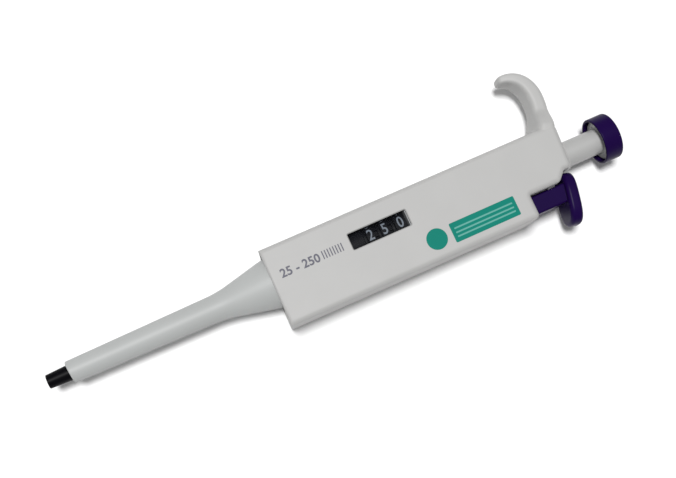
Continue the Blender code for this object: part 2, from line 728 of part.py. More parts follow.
def neck_bush():
    """Flanged bush that guides the button stem."""
    start = CAVITY_END - GAP
    profile = [
        (start - BUSH_FLANGE, STEM_BORE_R),
        (start - BUSH_FLANGE, BUSH_FLANGE_R),
        (start, BUSH_FLANGE_R),
        (start, BUSH_R),
        (BUSH_END, BUSH_R),
        (BUSH_END, STEM_BORE_R),
    ]
    return revolve("neck_bush", profile, "frame_grey")


# Counter

def chassis():
    """Counter frame: three plates on two rails, bored for the spindle and the pinion shaft."""
    end = PLATE_3 + PLATE
    side = RAIL_WIDTH / 2
    obj = chassis_plate("chassis", PLATE_1)
    hook_rail = block("rail", (PLATE_1, DRUM_R + GAP, -side), (end, FRAME_HIGH, side))
    pinion_top = PINION_Z + PINION_TIP_R + 2 * GAP
    bar_rail = block("rail", (PLATE_1, FRAME_LOW, pinion_top), (end, -(DRUM_R + GAP), side))
    join(obj, hook_rail, bar_rail, chassis_plate("plate", PLATE_2), chassis_plate("plate", PLATE_3))
    cut(obj, rod("spindle_hole", PLATE_1 - OVER, end + OVER, SPINDLE_HOLE_R))
    shaft_hole = rod("shaft_hole", PLATE_1 - OVER, PLATE_2 + PLATE + OVER, PINION_SHAFT_R + GAP,
                     sides=HOLE_SIDES)
    cut(obj, shifted(shaft_hole, PINION_Y, PINION_Z))
    for y, z in chassis_screw_places():
        pilot = rod("pilot", PLATE_1 - OVER, PLATE_1 + PLATE + OVER, SCREW_R + GAP, sides=PILOT_SIDES)
        cut(obj, shifted(pilot, y, z))
    return obj


def chassis_plate(name, x):
    """One cross plate of the counter frame."""
    return block(name, (x, FRAME_LOW, -FRAME_SIDE), (x + PLATE, FRAME_HIGH, FRAME_SIDE), "frame_grey")


def chassis_screw_places():
    """Screw centres of the spring housing's flange on the counter frame."""
    z = FRAME_SIDE - SCREW_HEAD_R - SCREW_INSET
    y = FRAME_HIGH - SCREW_HEAD_R - SCREW_INSET
    return [(y, z), (y, -z), (-y, z), (-y, -z)]


def spindle_nut():
    """Fixed hexagonal nut that the spindle screws through."""
    obj = prism("spindle_nut", polygon(6, NUT_FLATS), NUT_X, NUT_X + NUT_LENGTH, "X", "brass")
    return cut(obj, rod("bore", NUT_X - OVER, NUT_X + NUT_LENGTH + OVER, SPINDLE_HOLE_R))


def pinion_shaft():
    """Pin that carries the transfer pinions."""
    pin = rod("pinion_shaft", PLATE_1, PLATE_2 + PLATE, PINION_SHAFT_R, "steel", HOLE_SIDES)
    return at(pin, 0.0, PINION_Y, PINION_Z)


def slot_x(slot):
    """Lower end of a counter slot."""
    return WINDOW_X + slot * DRUM_PITCH


def counter_spacer():
    """Blank ring in the first slot of the window."""
    start = slot_x(0)
    return tube("counter_spacer", start, start + DRUM_LENGTH, SPINDLE_HOLE_R, DRUM_R, "drum_black")


def digit_drum(name, slot, geared=True, keyed=False):
    """A digit drum: carry disc, digit rim, and a gear or a keyed hub."""
    start = slot_x(slot)
    end = start + DRUM_LENGTH
    rim_end = end - GEAR_LENGTH
    last = rim_end if geared else end
    profile = [
        (start, 0.0), (start, DISC_R), (start + DISC_LENGTH, DISC_R), (start + DISC_LENGTH, DRUM_R),
        (last, DRUM_R), (last, 0.0),
    ]
    obj = revolve(name, profile, "drum_black", closed=False)
    if geared:
        outline = toothed(GEAR_TEETH, GEAR_PITCH_R, PINION_ANGLE)
        gear = prism("gear", outline, rim_end - GEAR_LENGTH / 2, end, "X")
        join(obj, gear)
    cut(obj, rod("bore", start - OVER, end + OVER, SPINDLE_HOLE_R))
    # carry notch in the disc
    half = CARRY_WIDTH / 2
    cut(obj, block("notch", (start - OVER, DISC_R - CARRY_DEPTH, -half),
                   (start + DISC_LENGTH, DISC_R + OVER, half)))
    if keyed:
        half = KEY_WIDTH / 2
        inner = SPINDLE_R - KEY_DEPTH + GAP
        key = block("key", (start + DISC_LENGTH, -half, inner),
                    (end - DISC_LENGTH, half, SPINDLE_HOLE_R + OVER))
        join(obj, key)
    return obj


def transfer_pinion(name, slot):
    """Pinion between the drum in a slot and the one above it."""
    start = slot_x(slot) + DRUM_LENGTH - GEAR_LENGTH + GAP
    end = slot_x(slot + 1) + DISC_LENGTH - GAP
    half_tooth = math.pi / PINION_TEETH
    outline = toothed(PINION_TEETH, PINION_PITCH_R, PINION_ANGLE + math.pi + half_tooth)
    obj = prism(name, outline, start, end, "X", "frame_grey")
    cut(obj, rod("bore", start - OVER, end + OVER, PINION_SHAFT_R + GAP, sides=HOLE_SIDES))
    return at(obj, 0.0, PINION_Y, PINION_Z)


def spindle():
    """Hollow volume spindle: threaded lower part with a keyway, hexagonal upper part."""
    obj = rod("spindle", SPINDLE_X, HEX_X, SPINDLE_R, "brass", FINE_SIDES)
    join(obj, prism("hex", polygon(6, SPINDLE_FLATS), HEX_X - OVER, SPINDLE_TOP, "X"))
    cut(obj, rod("bore", SPINDLE_X - OVER, SPINDLE_TOP + OVER, SPINDLE_BORE_R, sides=FINE_SIDES))
    half = KEY_WIDTH / 2 + GAP
    cut(obj, block("keyway", (SPINDLE_X - OVER, -half, SPINDLE_R - KEY_DEPTH),
                   (HEX_X, half, SPINDLE_R + OVER)))
    return obj


# Plunger and button

def piston():
    """Polished piston, chamfered at its lower end."""
    socket = HEAD_X + HEAD_LENGTH / 2 - GAP
    profile = [
        (PISTON_X, 0.0), (PISTON_X, PISTON_R - CHAMFER), (PISTON_X + CHAMFER, PISTON_R),
        (socket, PISTON_R), (socket, 0.0),
    ]
    return revolve("piston", profile, "steel", closed=False, sides=FINE_SIDES)


def piston_head():
    """Spring seat on top of the piston, with a socket on each side."""
    middle = HEAD_X + HEAD_LENGTH / 2
    floor = middle + HEAD_WEB
    profile = [
        (middle, 0.0), (middle, PISTON_R + GAP), (HEAD_X, PISTON_R + GAP), (HEAD_X, HEAD_R),
        (HEAD_TOP, HEAD_R), (HEAD_TOP, ROD_R + GAP), (floor, ROD_R + GAP), (floor, 0.0),
    ]
    return revolve("piston_head", profile, "frame_grey", closed=False)


def push_rod():
    """Steel rod from the piston head through the spindle to the button stem."""
    low = HEAD_X + HEAD_LENGTH / 2 + HEAD_WEB + GAP
    return rod("push_rod", low, ROD_TOP, ROD_R, "steel", FINE_SIDES)


def button_stem():
    """White stem: hexagonal bore for the spindle, rod socket, and the flange that carries the cap."""
    flange = CAP_X + CAP_RECESS
    top = CAP_END - CAP_WALL - GAP
    profile = [
        (STEM_X, 0.0), (STEM_X, STEM_R - CHAMFER), (STEM_X + CHAMFER, STEM_R), (flange, STEM_R),
        (flange, STEM_FLANGE_R), (flange + STEM_FLANGE, STEM_FLANGE_R), (flange + STEM_FLANGE, STEM_R),
        (top, STEM_R), (top, 0.0),
    ]
    obj = revolve("button_stem", profile, "sleeve_white", closed=False)
    cut(obj, prism("hex_bore", polygon(6, SPINDLE_FLATS + 2 * HEX_PLAY), STEM_X - OVER, STEM_CEILING, "X"))
    cut(obj, rod("rod_socket", STEM_CEILING - OVER, ROD_TOP + GAP, ROD_R + GAP, sides=FINE_SIDES))
    return obj


def button_cap():
    """Button cap: a cup over the stem's flange with a rounded top edge."""
    inner = CAP_R - CAP_WALL
    arc = []
    for i in range(CAP_STEPS + 1):
        angle = math.pi / 2 * i / CAP_STEPS
        x = CAP_END - CAP_CHAMFER + CAP_CHAMFER * math.sin(angle)
        arc.append((x, CAP_R - CAP_CHAMFER + CAP_CHAMFER * math.cos(angle)))
    profile = [
        (CAP_END - CAP_WALL, 0.0), (CAP_END - CAP_WALL, inner), (CAP_X, inner), (CAP_X, CAP_R - CAP_RIM),
        (CAP_X + CAP_RIM, CAP_R), *arc, (CAP_END, 0.0),
    ]
    return revolve("button_cap", profile, "button_purple", closed=False)


# Shaft

def sleeve_inner(x):
    """Inner radius of the sleeve's straight taper at a station below the flare."""
    share = (x - SLEEVE_START) / (FLARE_START - SLEEVE_START)
    return SLEEVE_R + (NECK_R - SLEEVE_R) * share - SLEEVE_WALL


def tip_cone():
    """Black cone that a disposable tip is pushed on, with its seat in the shaft."""
    profile = [
        (0.0, TIP_BORE_R), (0.0, TIP_R - TIP_EDGE), (TIP_EDGE, TIP_R), (TIP_EXPOSED, TIP_BASE_R),
        (SPIGOT_X, TIP_BASE_R), (SPIGOT_X, SEAT_R - GAP), (TIP_LENGTH, SEAT_R - GAP),
        (TIP_LENGTH, TIP_BORE_R),
    ]
    return revolve("tip_cone", profile, "tip_black")


def shaft():
    """Shaft: thin lower tube, cylinder, seal seat and spring chamber in one turned piece."""
    low = SPIGOT_X + GAP
    cone = FLARE_START + (CASE_R - (NECK_R - SLEEVE_WALL - GAP)) / FLARE_SLOPE
    collar = BODY_START + GAP
    thread_end = collar + THREAD_LENGTH
    widen = CYLINDER_FLOOR - SHAFT_SHOULDER
    profile = [
        (low, SEAT_R), (low, SHAFT_LOW_R), (widen - SHAFT_SHOULDER, SHAFT_LOW_R), (widen, SHAFT_R),
        (FLARE_START, SHAFT_R), (cone, CASE_R), (collar, CASE_R),
        (collar, CHAMBER_R + THREAD_WALL), (thread_end, CHAMBER_R + THREAD_WALL), (thread_end, CHAMBER_R),
        (BLOWOUT_X, CHAMBER_R), (BLOWOUT_X, INNER_CHAMBER_R),
        (CHAMBER_X, INNER_CHAMBER_R), (CHAMBER_X, SEAL_R), (SEAL_X, SEAL_R), (SEAL_X, CYLINDER_R),
        (CYLINDER_FLOOR, CYLINDER_R), (CYLINDER_FLOOR - CYLINDER_BASE, TIP_BORE_R),
        (TIP_LENGTH + GAP, TIP_BORE_R), (TIP_LENGTH + GAP, SEAT_R),
    ]
    return revolve("shaft", profile, "frame_grey")


def o_ring():
    """O-ring at the bottom of the seal seat."""
    thick = (SEAL_R - GAP - PISTON_R - GAP) / 2
    centre_r = PISTON_R + GAP + thick
    centre_x = SEAL_X + GAP + thick
    turns = [math.tau * i / O_RING_SIDES for i in range(O_RING_SIDES)]
    profile = [(centre_x - thick * math.cos(a), centre_r + thick * math.sin(a)) for a in turns]
    return revolve("o_ring", profile, "rubber_black", FINE_SIDES)


def piston_seal():
    """Low-friction ring on the O-ring that the piston runs through."""
    return tube("piston_seal", SEAL_X_LOW, CHAMBER_X - GAP, PISTON_R + GAP, SEAL_R - GAP, "seal_white",
                FINE_SIDES)


def seal_retainer():
    """Washer that holds the seals down and carries the return spring."""
    start = CHAMBER_X + GAP
    return tube("seal_retainer", start, start + RETAINER, PISTON_R + GAP, INNER_CHAMBER_R - GAP, "steel",
                FINE_SIDES)


def spring_housing():
    """Tube that the shaft screws into, with the flange that stops the piston head."""
    collar = BODY_START + 2 * GAP
    thread_r = CHAMBER_R + THREAD_WALL + GAP
    inner = HEAD_R + HEAD_PLAY
    thread_end = BODY_START + GAP + THREAD_LENGTH + GAP
    into = FLANGE_X + FLANGE_LENGTH / 2
    profile = [
        (collar, thread_r), (collar, CASE_R), (into, CASE_R),
        (into, inner), (thread_end, inner), (thread_end, thread_r),
    ]
    obj = revolve("spring_housing", profile, "frame_grey")
    flange_end = FLANGE_X + FLANGE_LENGTH
    join(obj, block("flange", (FLANGE_X, -FRAME_HIGH, -FRAME_SIDE), (flange_end, FRAME_HIGH, FRAME_SIDE)))
    cut(obj, rod("spindle_hole", FLANGE_X - OVER, flange_end + OVER, SPINDLE_HOLE_R))
    for y, z in chassis_screw_places():
        hole = rod("hole", FLANGE_X - OVER, flange_end + OVER, SCREW_R + GAP, sides=PILOT_SIDES)
        cut(obj, shifted(hole, y, z))
    return obj


def return_spring():
    """Spring that lifts the plunger."""
    seat = CHAMBER_X + GAP + RETAINER
    return coil("return_spring", seat, HEAD_X, RETURN_COIL_R, RETURN_WIRE_R, RETURN_TURNS)


def blowout_spring():
    """Stiffer outer spring that marks the first stop."""
    top = HEAD_X - VOLUME_STROKE + 2 * GAP
    return coil("blowout_spring", BLOWOUT_X, top, BLOWOUT_COIL_R, BLOWOUT_WIRE_R, BLOWOUT_TURNS)


# Ejector

def ejector_sleeve():
    """Long sleeve over the shaft: slanted end, taper, flare, skirt inside the housing and its lug."""
    rim = BODY_START - GAP
    flare_full = FLARE_START + (SKIRT_BORE_R - NECK_R + SLEEVE_WALL) / FLARE_SLOPE
    low = SLEEVE_START - OVER
    end_r = SLEEVE_R - (NECK_R - SLEEVE_R) * OVER / (FLARE_START - SLEEVE_START)
    profile = [
        (low, sleeve_inner(low)), (low, end_r), (FLARE_START - FLARE_SOFT, NECK_R),
        (FLARE_START, NECK_R + FLARE_SLOPE * FLARE_SOFT / 4),
        (FLARE_START + FLARE_SOFT, NECK_R + FLARE_SLOPE * FLARE_SOFT),
        (rim - RIM_EDGE, RIM_R), (rim, RIM_R - RIM_EDGE), (rim, SKIRT_R), (SKIRT_END, SKIRT_R),
        (SKIRT_END, SKIRT_BORE_R), (flare_full, SKIRT_BORE_R), (FLARE_START, NECK_R - SLEEVE_WALL),
    ]
    obj = revolve("ejector_sleeve", profile, "sleeve_white")
    # slanted lower end
    reach = SLEEVE_R + OVER
    shear = SLEEVE_SLANT / (2 * SLEEVE_R)
    outline = [
        (SLEEVE_START - reach, reach),
        (SLEEVE_START - reach, -reach),
        (SLEEVE_START + shear * (SLEEVE_R + reach), -reach),
        (SLEEVE_START + shear * (SLEEVE_R - reach), reach),
    ]
    cut(obj, prism("slant", outline, -reach, reach))
    inner = -(SKIRT_R - SKIRT_WALL / 2)
    half = LUG_WIDTH / 2
    return join(obj, block("lug", (SKIRT_END - LUG_LENGTH, BAR_LOW, -half), (SKIRT_END, inner, half)))


def ejector_bar():
    """Bar from the sleeve's lug to the ejector button: foot, flat strip and round spring rod."""
    foot = SKIRT_END + GAP
    strip_end = GUIDE_START - 2 * GAP
    obj = block("ejector_bar", (foot, BAR_LOW, -LUG_WIDTH / 2),
                (foot + BAR_FOOT, -(SKIRT_R + 2 * GAP), LUG_WIDTH / 2), "steel")
    strip = block("strip", (foot + BAR_FOOT / 2, BAR_LOW, -BAR_THICK / 2),
                  (strip_end, BAR_LOW + BAR_HEIGHT, BAR_THICK / 2))
    pin = rod("pin", strip_end - BAR_LAP, EJECT_STEM_X + BAR_SOCKET, BAR_ROD_R, sides=HOLE_SIDES)
    return join(obj, strip, shifted(pin, EJECT_Y, 0.0))


def ejector_spring():
    """Spring on the bar's rod between the housing's ledge and the ejector button."""
    seat = GUIDE_START + GUIDE_THICK
    spring = coil("ejector_spring", seat, EJECT_STEM_X, EJECT_COIL_R, EJECT_WIRE_R, EJECT_TURNS)
    return at(spring, 0.0, EJECT_Y, 0.0)


def ejector_button():
    """Ejector button: square stem along the neck with a tilted oval thumb pad."""
    half = EJECT_STEM_WIDTH / 2
    low = EJECT_STEM_LOW
    high = EJECT_STEM_HIGH
    corners = [(low, -half), (high, -half), (high, half), (low, half)]
    outline = rounded(corners, [EJECT_STEM_EDGE] * len(corners), ROUND_STEPS // 2)
    obj = prism("ejector_button", outline, EJECT_STEM_X, SHOULDER_X + PAD_X, "X", "button_purple")
    join(obj, thumb_pad())
    hole_end = EJECT_STEM_X + BAR_SOCKET + GAP
    hole = rod("rod_hole", EJECT_STEM_X - OVER, hole_end, BAR_ROD_R + GAP, sides=HOLE_SIDES)
    return cut(obj, shifted(hole, EJECT_Y, 0.0))


def thumb_pad():
    """Oval pad with rounded edges, tilted so that its outer end leans to the tip."""
    straight = (PAD_LENGTH - PAD_WIDTH) / 2
    bm = bmesh.new()
    verts = []
    for end in (1, -1):
        for i in range(PAD_STEPS + 1):
            angle = math.pi * i / PAD_STEPS
            y = end * (straight + PAD_WIDTH / 2 * math.sin(angle))
            z = end * PAD_WIDTH / 2 * math.cos(angle)
            verts.append(bm.verts.new((-PAD_THICK / 2, y, z)))
    base = bm.faces.new(verts)
    grown = bmesh.ops.extrude_face_region(bm, geom=[base])
    moved = [v for v in grown["geom"] if isinstance(v, bmesh.types.BMVert)]
    bmesh.ops.translate(bm, verts=moved, vec=(PAD_THICK, 0.0, 0.0))
    rims = [e for e in bm.edges if abs(e.verts[0].co.x - e.verts[1].co.x) < TINY]
    bmesh.ops.bevel(bm, geom=rims, offset=PAD_EDGE, segments=3, profile=0.5, affect="EDGES")
    pad = finish("pad", bm)
    turn = Matrix.Rotation(-PAD_TILT, 4, "Z")
    pad.data.transform(Matrix.Translation((SHOULDER_X + PAD_X, PAD_Y, 0.0)) @ turn)
    return pad


# Assembly

def bottom_centre(objects):
    """Centre of the underside of the box round all the objects, in the axis frame."""
    points = [o.matrix_world @ Vector(c) for o in objects for c in o.bound_box]
    low = [min(p[i] for p in points) for i in range(3)]
    high = [max(p[i] for p in points) for i in range(3)]
    return Vector(((low[0] + high[0]) / 2, (low[1] + high[1]) / 2, low[2]))


def main():
    """Build every piece and stand the pipette on its back with the origin under its middle."""
    for old in list(bpy.data.objects):
        bpy.data.objects.remove(old)
    pieces = [
        housing(), end_cover(), window_lens(), neck_bush(),
        chassis(), spindle_nut(), pinion_shaft(), counter_spacer(),
        digit_drum("hundreds_drum", 1), digit_drum("tens_drum", 2),
        digit_drum("units_drum", 3, geared=False, keyed=True),
        transfer_pinion("hundreds_pinion", 1), transfer_pinion("tens_pinion", 2),
        spindle(), piston(), piston_head(), push_rod(), button_stem(), button_cap(),
        tip_cone(), shaft(), o_ring(), piston_seal(), seal_retainer(), spring_housing(),
        return_spring(), blowout_spring(),
        ejector_sleeve(), ejector_bar(), ejector_spring(), ejector_button(),
    ]
    pieces += screws("cover_screw", BODY_START + GAP, COVER_SCREW, [(POST_Y, POST_Z), (POST_Y, -POST_Z)])
    pieces += screws("chassis_screw", FLANGE_X - SCREW_HEAD, FRAME_SCREW, chassis_screw_places())
    bpy.context.view_layer.update()
    root = bpy.data.objects.new("micropipette", None)
    bpy.context.collection.objects.link(root)
    root.location = -bottom_centre(pieces)
    for piece in pieces:
        piece.parent = root
    bpy.context.view_layer.update()


if __name__ == "__main__":
    main()
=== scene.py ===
"""Looks of an adjustable hand pipette lying on its back under soft studio light."""
import json
import logging
import math
from collections.abc import Sequence
from dataclasses import dataclass
from enum import Enum

import bmesh
import bpy
from mathutils import Matrix, Vector
from mathutils.geometry import interpolate_bezier


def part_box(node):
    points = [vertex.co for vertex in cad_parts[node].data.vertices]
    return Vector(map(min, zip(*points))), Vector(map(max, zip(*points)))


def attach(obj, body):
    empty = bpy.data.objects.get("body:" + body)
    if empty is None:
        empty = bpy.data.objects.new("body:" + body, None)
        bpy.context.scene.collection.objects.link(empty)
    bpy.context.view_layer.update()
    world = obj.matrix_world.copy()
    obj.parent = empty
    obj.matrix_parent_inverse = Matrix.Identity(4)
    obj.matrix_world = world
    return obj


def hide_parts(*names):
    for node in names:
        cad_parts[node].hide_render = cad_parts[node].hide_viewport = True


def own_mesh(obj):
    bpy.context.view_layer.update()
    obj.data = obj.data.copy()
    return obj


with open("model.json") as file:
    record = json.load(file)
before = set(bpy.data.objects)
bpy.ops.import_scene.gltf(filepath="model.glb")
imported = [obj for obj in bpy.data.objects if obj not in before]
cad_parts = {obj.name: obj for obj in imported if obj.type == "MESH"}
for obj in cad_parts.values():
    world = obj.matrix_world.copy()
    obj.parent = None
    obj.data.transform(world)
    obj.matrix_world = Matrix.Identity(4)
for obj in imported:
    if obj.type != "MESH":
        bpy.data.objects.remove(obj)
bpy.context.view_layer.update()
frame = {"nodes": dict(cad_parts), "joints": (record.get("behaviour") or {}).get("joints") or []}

MM = 0.001
LOG = logging.getLogger("pipette")
Point = tuple[float, float]
Triple = tuple[float, float, float]
Sizes = tuple[float, ...]
EVEN = (1.0, 1.0, 1.0)
TURNED = (1.0, 0.05, 0.05)


def mm(*values: float) -> Sizes:
    """Lengths in metres, from millimetres."""
    return tuple(value * MM for value in values)


def axis_origin() -> Vector:
    """Place of the plunger axis at the end of the tip cone."""
    low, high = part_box("tip_cone")
    return Vector((low.x, (low.y + high.y) / 2, (low.z + high.z) / 2))


ORIGIN = axis_origin()


# Node graphs

class Wire:
    """A socket in a node graph that takes part in sums and products."""

    def __init__(self, graph: "Graph", socket: bpy.types.NodeSocket) -> None:
        """Keep the graph and the socket."""
        self.graph = graph
        self.socket = socket

    def __add__(self, other: "Wire | float") -> "Wire":
        """Sum."""
        return self.graph.maths("ADD", self, other)

    __radd__ = __add__

    def __mul__(self, other: "Wire | float") -> "Wire":
        """Product."""
        return self.graph.maths("MULTIPLY", self, other)

    __rmul__ = __mul__

    def __sub__(self, other: "Wire | float") -> "Wire":
        """Difference."""
        return self.graph.maths("SUBTRACT", self, other)

    def __rsub__(self, other: "Wire | float") -> "Wire":
        """Difference from a number."""
        return self.graph.maths("SUBTRACT", other, self)

    def between(self, low: float, high: float) -> "Wire":
        """Smooth step of this value, from 0 at low to 1 at high."""
        node = self.graph.node("ShaderNodeMapRange", {"interpolation_type": "SMOOTHSTEP"},
                               {"Value": self, "From Min": low, "From Max": high})
        return self.graph.wire(node, "Result")


class Graph:
    """A node tree that is filled one node at a time."""

    def __init__(self, tree: bpy.types.NodeTree) -> None:
        """Keep the tree."""
        self.tree = tree

    def node(self, kind: str, settings: dict | None = None, inputs: dict | None = None) -> bpy.types.Node:
        """Add one node.

        Args:
            kind: the node's type.
            settings: attributes, set before the sockets.
            inputs: socket name or number to a value, a Wire or a socket.

        Returns:
            The new node.
        """
        made = self.tree.nodes.new(kind)
        for key, value in (settings or {}).items():
            setattr(made, key, value)
        for key, value in (inputs or {}).items():
            socket = made.inputs[key]
            if isinstance(value, Wire):
                self.tree.links.new(value.socket, socket)
            elif isinstance(value, bpy.types.NodeSocket):
                self.tree.links.new(value, socket)
            else:
                socket.default_value = value
        return made

    def wire(self, node: bpy.types.Node, output: str | int = 0) -> Wire:
        """Wrap one output of a node."""
        return Wire(self, node.outputs[output])

    def maths(self, operation: str, *values: "Wire | float") -> Wire:
        """Result of a new Math node."""
        return self.wire(self.node("ShaderNodeMath", {"operation": operation}, dict(enumerate(values))))

    def colours(self, factor: "Wire | float", one: tuple, two: tuple) -> Wire:
        """Mix of two linear colours, by the share of the second."""
        made = self.node("ShaderNodeMix", {"data_type": "RGBA"}, {0: factor, 6: (*one, 1.0), 7: (*two, 1.0)})
        return self.wire(made, 2)

    def place(self, stretch: Triple) -> Wire:
        """Object coordinates, stretched by a factor along each axis."""
        here = self.node("ShaderNodeTexCoord").outputs["Object"]
        return self.wire(self.node("ShaderNodeMapping", None, {"Vector": here, "Scale": stretch}))

    def noise(self, grain: float, detail: float = 2.0, stretch: Triple = EVEN) -> Wire:
        """Noise on Object coordinates, by the size of its features and its octaves."""
        inputs = {"Vector": self.place(stretch), "Scale": 1 / grain, "Detail": detail}
        return self.wire(self.node("ShaderNodeTexNoise", None, inputs))


# Finishes

def tinted(colour: Triple, factor: float) -> Triple:
    """A linear colour made lighter or darker."""
    return tuple(min(1.0, c * factor) for c in colour)


@dataclass(frozen=True)
class Finish:
    """A surface finish: a base colour that drifts, a fine grain and its gloss."""

    name: str
    slot: str
    colour: Triple
    roughness: float
    grain: float = 0.22 * MM
    relief: float = 0.004 * MM
    drift: float = 0.03
    cloud: float = 14 * MM
    cloud_span: Point = (0.3, 0.7)
    scuff: float = 1.6 * MM
    scuff_span: Point = (0.52, 0.75)
    scuff_stretch: Triple = (0.25, 1.0, 1.0)
    scuff_gloss: float = 0.02
    grain_gloss: float = 0.06
    metallic: float = 0.0
    specular: float = 0.5
    alpha: float = 1.0
    stretch: Triple = EVEN

    def material(self) -> bpy.types.Material:
        """The finish as a material, made on first use.

        Returns:
            The material.
        """
        found = bpy.data.materials.get(self.name)
        if found:
            return found
        made = bpy.data.materials.new(self.name)
        made.use_nodes = True
        graph = Graph(made.node_tree)
        shader = made.node_tree.nodes["Principled BSDF"]
        self.dress(graph, shader)
        made.diffuse_color = (*self.colour, 1.0)
        return made

    def dress(self, graph: Graph, shader: bpy.types.Node) -> None:
        """Fill the shader's sockets.

        Args:
            graph: the material's graph.
            shader: its main shader.
        """
        link = graph.tree.links.new
        cloud = graph.noise(self.cloud, 3.0).between(*self.cloud_span)
        grain = graph.noise(self.grain, 2.0, self.stretch)
        scuff = graph.noise(self.scuff, 4.0, self.scuff_stretch).between(*self.scuff_span)
        tone = graph.colours(cloud, tinted(self.colour, 1 - self.drift), tinted(self.colour, 1 + self.drift))
        link(tone.socket, shader.inputs["Base Color"])
        rough = self.roughness + self.scuff_gloss * scuff + self.grain_gloss * (grain - 0.5)
        link(rough.socket, shader.inputs["Roughness"])
        plain = {"Metallic": self.metallic, "Specular IOR Level": self.specular, "Alpha": self.alpha}
        for key, value in plain.items():
            shader.inputs[key].default_value = value
        bump = graph.node("ShaderNodeBump", None, {"Height": grain, "Distance": self.relief, "Strength": 1.0})
        link(bump.outputs[0], shader.inputs["Normal"])


class Finishes(Enum):
    """Finishes of the pipette."""

    BODY = Finish("moulded_white_body", "body_white", (0.42, 0.418, 0.412), 0.52, relief=0.006 * MM,
                  drift=0.012, specular=0.4)
    SLEEVE = Finish("moulded_white_sleeve", "sleeve_white", (0.405, 0.416, 0.412), 0.48, relief=0.003 * MM,
                    drift=0.01, specular=0.35)
    STEM = Finish("moulded_white_stem", "sleeve_white", (0.40, 0.40, 0.395), 0.36, relief=0.003 * MM,
                  drift=0.01)
    FRAME = Finish("frame_plastic", "frame_grey", (0.30, 0.31, 0.32), 0.5)
    PURPLE = Finish("gloss_purple", "button_purple", (0.010, 0.002, 0.043), 0.34, relief=0.002 * MM,
                    drift=0.06, specular=0.06)
    TIP = Finish("black_cone", "tip_black", (0.002, 0.002, 0.003), 0.42, relief=0.003 * MM, drift=0.1,
                 specular=0.06)
    DRUM = Finish("drum_plastic", "drum_black", (0.004, 0.0045, 0.007), 0.5, relief=0.002 * MM, drift=0.1,
                  specular=0.1)
    DIGIT = Finish("digit_ink", "drum_black", (0.20, 0.23, 0.27), 0.5, relief=0.002 * MM, specular=0.2)
    LENS = Finish("clear_lens", "lens_clear", (0.03, 0.032, 0.036), 0.06, relief=0.0002 * MM, alpha=0.05,
                  specular=0.12)
    STEEL = Finish("turned_steel", "steel", (0.50, 0.51, 0.53), 0.34, metallic=1.0, stretch=TURNED)
    BRASS = Finish("turned_brass", "brass", (0.70, 0.50, 0.22), 0.30, metallic=1.0, stretch=TURNED)
    SEAL = Finish("seal_plastic", "seal_white", (0.78, 0.78, 0.76), 0.5)
    RUBBER = Finish("black_rubber", "rubber_black", (0.015, 0.015, 0.015), 0.7, relief=0.006 * MM)
    PRINT = Finish("grey_print", "frame_grey", (0.06, 0.06, 0.09), 0.5, relief=0.002 * MM)
    TEAL = Finish("teal_print", "frame_grey", (0.003, 0.19, 0.145), 0.5, relief=0.002 * MM, specular=0.08)
    PALE_TEAL = Finish("pale_teal_print", "frame_grey", (0.12, 0.36, 0.31), 0.5, relief=0.002 * MM,
                       specular=0.12)


CAD_FINISHES = {
    "end_cover": Finishes.BODY, "neck_bush": Finishes.FRAME, "chassis": Finishes.FRAME,
    "spindle_nut": Finishes.BRASS, "pinion_shaft": Finishes.STEEL, "hundreds_pinion": Finishes.FRAME,
    "tens_pinion": Finishes.FRAME, "piston": Finishes.STEEL, "piston_head": Finishes.FRAME,
    "push_rod": Finishes.STEEL, "shaft": Finishes.FRAME, "o_ring": Finishes.RUBBER,
    "piston_seal": Finishes.SEAL, "seal_retainer": Finishes.STEEL, "spring_housing": Finishes.FRAME,
    "ejector_bar": Finishes.STEEL,
}


# Bench work

def rounded(corners: Sequence[Point], radii: Sequence[float], steps: int = 6) -> list[Point]:
    """Round the corners of a closed outline.

    Args:
        corners: its corners.
        radii: one radius for each corner.
        steps: segments of an arc.

    Returns:
        The points of the rounded outline.
    """
    points: list[Point] = []
    count = len(corners)
    for i, corner in enumerate(corners):
        here = Vector(corner)
        if radii[i] == 0.0:
            points.append(tuple(here))
            continue
        back = (Vector(corners[i - 1]) - here).normalized()
        ahead = (Vector(corners[(i + 1) % count]) - here).normalized()
        half = back.angle(ahead) / 2
        centre = here + (back + ahead).normalized() * (radii[i] / math.sin(half))
        first = here + back * (radii[i] / math.tan(half)) - centre
        last = here + ahead * (radii[i] / math.tan(half)) - centre
        turn = first.angle_signed(last)
        for k in range(steps + 1):
            points.append(tuple(centre + Matrix.Rotation(-turn * k / steps, 2) @ first))
    return points


def inset(corners: Sequence[Point], amounts: Sequence[float]) -> list[Point]:
    """Move each side of an outline inwards.

    Args:
        corners: corners of the outline, anticlockwise.
        amounts: how far the side that starts at each corner moves.

    Returns:
        The new corners.
    """
    sides = []
    count = len(corners)
    for i, corner in enumerate(corners):
        along = (Vector(corners[(i + 1) % count]) - Vector(corner)).normalized()
        shift = Vector((-along.y, along.x)) * amounts[i]
        sides.append((Vector(corner) + shift, along))
    moved = []
    for i in range(count):
        (one, along), (two, other) = sides[i - 1], sides[i]
        reach = (two - one).cross(other) / along.cross(other)
        moved.append(tuple(one + along * reach))
    return moved


def round_over(radius: float, depth: float) -> float:
    """How far an edge of this radius has drawn in, at a depth below the face."""
    rest = max(0.0, radius - depth)
    return radius - math.sqrt(radius * radius - rest * rest)


def powered(value: float, power: float) -> float:
    """A value raised to a power, with its sign kept."""
    return math.copysign(abs(value) ** power, value)


def around(x: float, y: float, z: float, radius: float, angle: float) -> Vector:
    """A point on a circle about a line along X."""
    return Vector((x, y + radius * math.cos(angle), z + radius * math.sin(angle)))


